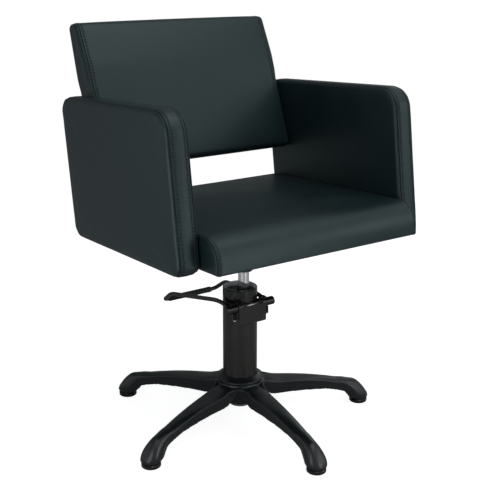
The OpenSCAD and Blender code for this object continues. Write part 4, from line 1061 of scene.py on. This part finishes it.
def revolve(points, faces, outline, steps, ring=False):
    # The outline runs upwards on its outer side. A ring's outline closes on itself.
    start = len(points)
    for k in range(steps):
        a = 2 * math.pi * k / steps
        points += [(r * math.cos(a), r * math.sin(a), z) for r, z in outline]
    n = len(outline)
    for k in range(steps):
        j = (k + 1) % steps
        for i in range(n if ring else n - 1):
            m = (i + 1) % n
            faces.append((start + k * n + i, start + j * n + i, start + j * n + m, start + k * n + m))
    if ring:
        return
    low = len(points)
    points += [(0, 0, outline[0][1]), (0, 0, outline[-1][1])]
    for k in range(steps):
        j = (k + 1) % steps
        faces.append((low, start + j * n, start + k * n))
        faces.append((low + 1, start + k * n + n - 1, start + j * n + n - 1))


def sweepRod(points, faces, path, radius, sides):
    # radius is one number, or one for each point of the path
    start = len(points)
    for k, here in enumerate(path):
        ahead = (path[min(k + 1, len(path) - 1)] - path[max(k - 1, 0)]).normalized()
        up = (Vector((0, 0, 1)) - ahead * ahead.z).normalized()
        side = up.cross(ahead)
        for i in range(sides):
            a = 2 * math.pi * i / sides
            size = radius[k] if isinstance(radius, list) else radius
            points.append(here + size * (math.cos(a) * side + math.sin(a) * up))
    joinRings(faces, start, len(path), sides, turned=True)
    faces.append(tuple(start + i for i in range(sides)))
    faces.append(tuple(start + (len(path) - 1) * sides + i for i in reversed(range(sides))))


hub = {"boss": 0.035, "bossLow": 0.041, "webLow": 0.086, "webIn": 0.030, "waist": 0.0508, "waistLow": 0.0885,
       "waistTop": 0.0978, "flare": 0.004, "lip": 0.0505, "lipHeight": 0.1014, "lipRound": 0.0026,
       "rim": 0.0405, "top": 0.1108, "edge": 0.001, "steps": 96}
# What is fused with the hub stands a little inside the crisp collar that is turned over it
collar = {"lipCover": 0.0016, "rimCover": 0.003, "topCover": 0.002, "wall": 0.0012, "depth": 0.004,
          "edge": 0.0006, "steps": 144}
# Beads along the edges of the legs, and the arches that carry them round the hub
fork = {"bead": 0.0024, "crisp": 0.96, "sides": 10, "crispSides": 12, "from": 0.078, "to": 0.268,
        "fade": 0.05, "end": 0.25, "archReach": 0.0345, "archTop": 0.0915, "archSteps": 16,
        "webDepth": 0.007, "webRise": 0.001}


def forkLine(turn, side):
    # Edge of a leg's top surface from the arch outwards, on one side
    radii, widths, ridges, _, crowns, _, _ = legTables()
    return [Vector(outFrom(turn, r, side * (w - fork["bead"] / 2), ridge - crown))
            for r, w, ridge, crown in zip(radii, widths, ridges, crowns) if fork["from"] <= r <= fork["to"]]


def makeFork(points, faces, beads, turn):
    # Between two legs, a bead runs along one leg's edge, over an arch in front of the hub and along
    # the other leg. A web behind the arch fills the fork.
    apart = math.radians(360 / star["legs"])
    near, far = forkLine(turn, 1), forkLine(turn + apart, -1)
    a, b = near[0], far[0]
    middle = Vector((math.cos(turn + apart / 2), math.sin(turn + apart / 2), 0)) * fork["archReach"]
    middle.z = 2 * fork["archTop"] - (a.z + b.z) / 2
    shares = [k / fork["archSteps"] for k in range(1, fork["archSteps"])]
    arch = [a * (1 - t) ** 2 + middle * 2 * t * (1 - t) + b * t * t for t in shares]
    path = near[::-1] + arch + far
    thick = [fork["bead"] * min(1, max(0, fork["to"] - p.xy.length) / fork["fade"] + fork["end"])
             for p in path]
    sweepRod(points, faces, path, thick, fork["sides"])
    sweepRod(*beads, path, [t * fork["crisp"] for t in thick], fork["crispSides"])
    start = len(points)
    edge = [a, *arch, b]
    for p in edge:
        inner = p.xy.normalized() * hub["webIn"]
        points += [(*inner, hub["webLow"]), (p.x, p.y, p.z - fork["webDepth"]), p,
                   (*inner, fork["archTop"] + fork["webRise"])]
    joinRings(faces, start, len(edge), 4, turned=True)
    last = len(points) - 4
    faces.append((start, start + 1, start + 2, start + 3))
    faces.append((last + 3, last + 2, last + 1, last))


def hubLip(inset):
    turns = [math.radians(-75 + 15 * k) for k in range(13)]
    return [(hub["lip"] - inset + hub["lipRound"] * math.cos(a),
             hub["lipHeight"] - inset / 2 + hub["lipRound"] * math.sin(a)) for a in turns]


def addCrispParts(piece, points, faces):
    # The beads and the turned collar stay crisp, so they join the casting after the remesh
    inner, low, edge = hub["rim"] - collar["wall"], hub["lipHeight"] - collar["depth"], collar["edge"]
    revolve(points, faces, [
        (inner, low), (hub["lip"] - 2 * edge, low), *hubLip(0), (hub["rim"] + 2 * edge, hub["top"] - edge),
        (hub["rim"] + edge, hub["top"] - edge / 4), (hub["rim"], hub["top"]), (inner, hub["top"])],
        collar["steps"], ring=True)
    crisp = meshPiece("crispParts", points, faces)
    work = bmesh.new()
    work.from_mesh(piece.data)
    work.from_mesh(crisp.data)
    work.to_mesh(piece.data)
    work.free()
    bpy.data.objects.remove(crisp)


def makeStarBase():
    points, faces = [], []
    beads = ([], [])
    for k in range(star["legs"]):
        turn = math.radians(-90 + star["turn"] + 360 / star["legs"] * k)
        makeLegMesh(points, faces, turn)
        makeFork(points, faces, beads, turn)
    edge, top = hub["edge"], hub["top"] - collar["topCover"]
    revolve(points, faces, [
        (hub["boss"] - edge, hub["bossLow"]), (hub["boss"], hub["bossLow"] + edge),
        (hub["boss"], hub["webLow"] - hub["flare"]), (hub["waist"], hub["waistLow"]),
        (hub["waist"], hub["waistTop"]), *hubLip(collar["lipCover"]), (hub["rim"] - edge, top),
        (hub["rim"] - collar["rimCover"], top)], hub["steps"])
    piece = meshPiece("starBaseCasting", points, faces)
    remesh = piece.modifiers.new("fuse", "REMESH")
    remesh.mode = "VOXEL"
    remesh.voxel_size = star["voxel"]
    remesh.use_smooth_shade = True
    smooth = piece.modifiers.new("flow", "SMOOTH")
    smooth.factor = 0.5
    smooth.iterations = star["smoothing"]
    bakeModifiers(piece)
    addCrispParts(piece, *beads)
    print("star base:", len(piece.data.polygons), "faces")
    finishPiece(piece, "base", castFinish, ["star_base"])


makeStarBase()


# Pedal bar: one round rod bent into a loop, from hub to hub

pedal = {"hubX": 0.04835, "startY": -0.0342, "shaftZ": 0.2855, "kneeY": 0.009, "kneeRise": 0.0068,
         "halfWidth": 0.072, "reach": 0.221, "rearZ": 0.233, "drop": 0.029, "crankOut": 0.004,
         "crankLength": 0.041, "rod": 0.005, "sides": 24, "kneeBend": 0.026, "kneeSteps": 14,
         "crankBend": 0.015, "crankSteps": 12, "cornerBend": 0.012, "cornerSteps": 14}


def bendAt(before, corner, after, length, steps):
    p = corner + (before - corner).normalized() * length
    q = corner + (after - corner).normalized() * length
    shares = [k / steps for k in range(steps + 1)]
    return [p * (1 - t) ** 2 + corner * 2 * t * (1 - t) + q * t * t for t in shares]


def makePedalBar():
    start = Vector((pedal["hubX"], pedal["startY"], pedal["shaftZ"]))
    knee = Vector((pedal["hubX"], pedal["kneeY"], pedal["shaftZ"] + pedal["kneeRise"]))
    corner = Vector((pedal["halfWidth"], pedal["reach"], pedal["rearZ"]))
    crank = corner + Vector((pedal["crankOut"], -pedal["crankLength"], pedal["drop"]))
    otherCorner = Vector((-corner.x, corner.y, corner.z))
    half = [start] + bendAt(start, knee, crank, pedal["kneeBend"], pedal["kneeSteps"])
    half += bendAt(knee, crank, corner, pedal["crankBend"], pedal["crankSteps"])
    half += bendAt(crank, corner, otherCorner, pedal["cornerBend"], pedal["cornerSteps"])
    path = half + [Vector((-p.x, p.y, p.z)) for p in reversed(half)]
    points, faces = [], []
    sweepRod(points, faces, path, pedal["rod"], pedal["sides"])
    piece = meshPiece("pedalRod", points, faces)
    finishPiece(piece, "pedal", paintFinish, ["pedal_bar"])
    print("pedal rod made")


makePedalBar()


# Pump housing: the machined block with its sharp edges broken

housing = {"edge": 0.0009, "segments": 3, "sharpFrom": 40, "flatBelow": 1}


def makeHousing():
    piece = mergedNode("pumpBlock", "pump_housing", housing["flatBelow"])
    edges = piece.modifiers.new("brokenEdges", "BEVEL")
    edges.width = housing["edge"]
    edges.segments = housing["segments"]
    edges.limit_method = "ANGLE"
    edges.angle_limit = math.radians(housing["sharpFrom"])
    edges.harden_normals = True
    bakeModifiers(piece)
    finishPiece(piece, "base", paintFinish, ["pump_housing"])
    print("pump block made")


makeHousing()


# Return spring round the plunger, copied from its CAD node with the loose triangles joined


def makeReturnSpring():
    piece = mergedNode("returnSpring", "plunger_spring")
    shadeSmooth(piece.data)
    finishPiece(piece, "base", steelFinish, ["plunger_spring"])
    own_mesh(piece)
    print("return spring made")


makeReturnSpring()


# Hard CAD nodes keep their shape and get a finish

nodeFinishes = [
    (glideFinish, ["glide_1", "glide_2", "glide_3", "glide_4", "glide_5"]),
    (paintFinish, ["pump_tube", "seat_plate"]),
    (steelFinish, ["tube_plug", "base_washer", "base_circlip", "inner_cylinder", "rod_guide",
                   "shaft_bushes", "pedal_shaft", "pump_cam", "plunger", "piston_head", "thrust_washer",
                   "rod_clip", "plate_bolts", "left_seat_bolts", "right_seat_bolts", "left_back_bolts",
                   "right_back_bolts"]),
    (chromeFinish, ["piston_rod"]),
    (ringFinish, ["cylinder_cap"]),
    (hubFinish, ["left_pedal_hub", "right_pedal_hub"]),
    (capFinish, ["hub_caps"]),
    (screwFinish, ["hub_screws"]),
    (rubberFinish, ["rod_wiper", "pedal_sleeve", "plunger_seal", "piston_seals"]),
    (timberFinish, ["seat_board", "seat_rails", "left_arm_core", "right_arm_core", "back_board"])]
for finish, names in nodeFinishes:
    for name in names:
        nodes[name].data.materials.clear()
        nodes[name].data.materials.append(finish)
print("finishes placed on", sum(len(names) for _, names in nodeFinishes), "nodes")


# Floor, light and camera. A light has a place, a target, a size and a power.

studio = {"floorHalf": 30, "floorTone": (0.42, 0.42, 0.42, 1), "floorRough": 0.7, "floorGlow": 0.87,
          "white": (1, 1, 1, 1), "roomTone": (0.93, 0.985, 1, 1), "dim": 0.17, "bright": 0.5,
          "dimUpTo": -0.3, "brightFrom": 0.95, "brightSide": (0.55, -0.68, 0.48)}
lights = [
    ("overLight", (0.15, -0.7, 2.7), (0, 0, 0.5), (2.2, 2.0), 18),
    ("frontLight", (1.6, -1.9, 1.2), (0, 0, 0.5), (1.5, 1.5), 8),
    ("sideFill", (-2.1, 0.9, 0.8), (0, 0, 0.5), (2.4, 1.5), 5),
    ("nearStrip", (-1.1, -0.42, 0.42), (0, 0, 0.42), (0.3, 0.9), 2.2),
    ("edgeStrip", (-1.5, -1.0, 0.8), (0, 0, 0.55), (0.26, 1.0), 2.4),
    ("frontStrip", (0.21, -1.08, 0.26), (0, 0, 0.3), (0.22, 0.6), 1.5),
    ("rimLight", (2.1, 1.0, 1.2), (0, 0, 0.5), (0.7, 1.5), 2)]


def makeStage():
    # So large that its edge lies above every view. It glows a little, as a studio's lit paper does.
    half = studio["floorHalf"]
    corners = [(-half, -half, 0), (half, -half, 0), (half, half, 0), (-half, half, 0)]
    floor = meshPiece("studioFloor", corners, [(0, 1, 2, 3)])
    material, tree, shader = newFinish("paleFloor", Roughness=studio["floorRough"],
                                       Base_Color=studio["floorTone"], Emission_Color=studio["white"])
    seen = addNode(tree, "ShaderNodeLightPath").outputs["Is Camera Ray"]
    feed(tree, shader, Emission_Strength=calc(tree, "MULTIPLY", seen, studio["floorGlow"]))
    floor.data.materials.append(material)


def makeWorld():
    # The camera sees white. The object sees a dim room that is brighter on one side.
    world = bpy.data.worlds.new("studio")
    world.use_nodes = True
    tree = world.node_tree
    facing = addNode(tree, "ShaderNodeVectorMath", operation="DOT_PRODUCT")
    fill(tree, facing.inputs[0], addNode(tree, "ShaderNodeTexCoord").outputs["Generated"])
    fill(tree, facing.inputs[1], studio["brightSide"])
    climb = feed(tree, addNode(tree, "ShaderNodeMapRange", interpolation_type="SMOOTHSTEP"),
                 Value=facing.outputs["Value"], From_Min=studio["dimUpTo"], From_Max=studio["brightFrom"],
                 To_Min=studio["dim"], To_Max=studio["bright"])
    room = feed(tree, addNode(tree, "ShaderNodeBackground"), Color=studio["roomTone"],
                Strength=climb.outputs["Result"])
    backdrop = feed(tree, tree.nodes["Background"], Color=studio["white"], Strength=1.0)
    either = addNode(tree, "ShaderNodeMixShader")
    fill(tree, either.inputs["Fac"], addNode(tree, "ShaderNodeLightPath").outputs["Is Camera Ray"])
    fill(tree, either.inputs[1], room.outputs["Background"])
    fill(tree, either.inputs[2], backdrop.outputs["Background"])
    feed(tree, tree.nodes["World Output"], Surface=either.outputs["Shader"])
    scene.world = world


def aimAt(thing, place, target):
    thing.location = place
    thing.rotation_euler = (Vector(target) - Vector(place)).to_track_quat("-Z", "Y").to_euler()


def makeLight(name, place, target, size, power):
    light = bpy.data.lights.new(name, "AREA")
    light.shape = "RECTANGLE"
    light.size, light.size_y = size
    light.energy = power
    lamp = bpy.data.objects.new(name, light)
    lamp.visible_camera = False
    scene.collection.objects.link(lamp)
    aimAt(lamp, place, target)


def makeCamera():
    turn, rise = math.radians(shot["azimuth"]), math.radians(shot["elevation"])
    back = Vector((math.sin(turn) * math.cos(rise), -math.cos(turn) * math.cos(rise), math.sin(rise)))
    camera = bpy.data.cameras.new("photoCamera")
    camera.sensor_fit = "HORIZONTAL"
    camera.sensor_width = shot["sensor"]
    camera.lens = shot["lens"]
    holder = bpy.data.objects.new("photoCamera", camera)
    scene.collection.objects.link(holder)
    aimAt(holder, Vector(shot["target"]) + back * shot["distance"], shot["target"])
    scene.camera = holder


makeStage()
makeWorld()
for light in lights:
    makeLight(*light)
makeCamera()
scene.view_settings.view_transform = "Standard"
print("stage set")
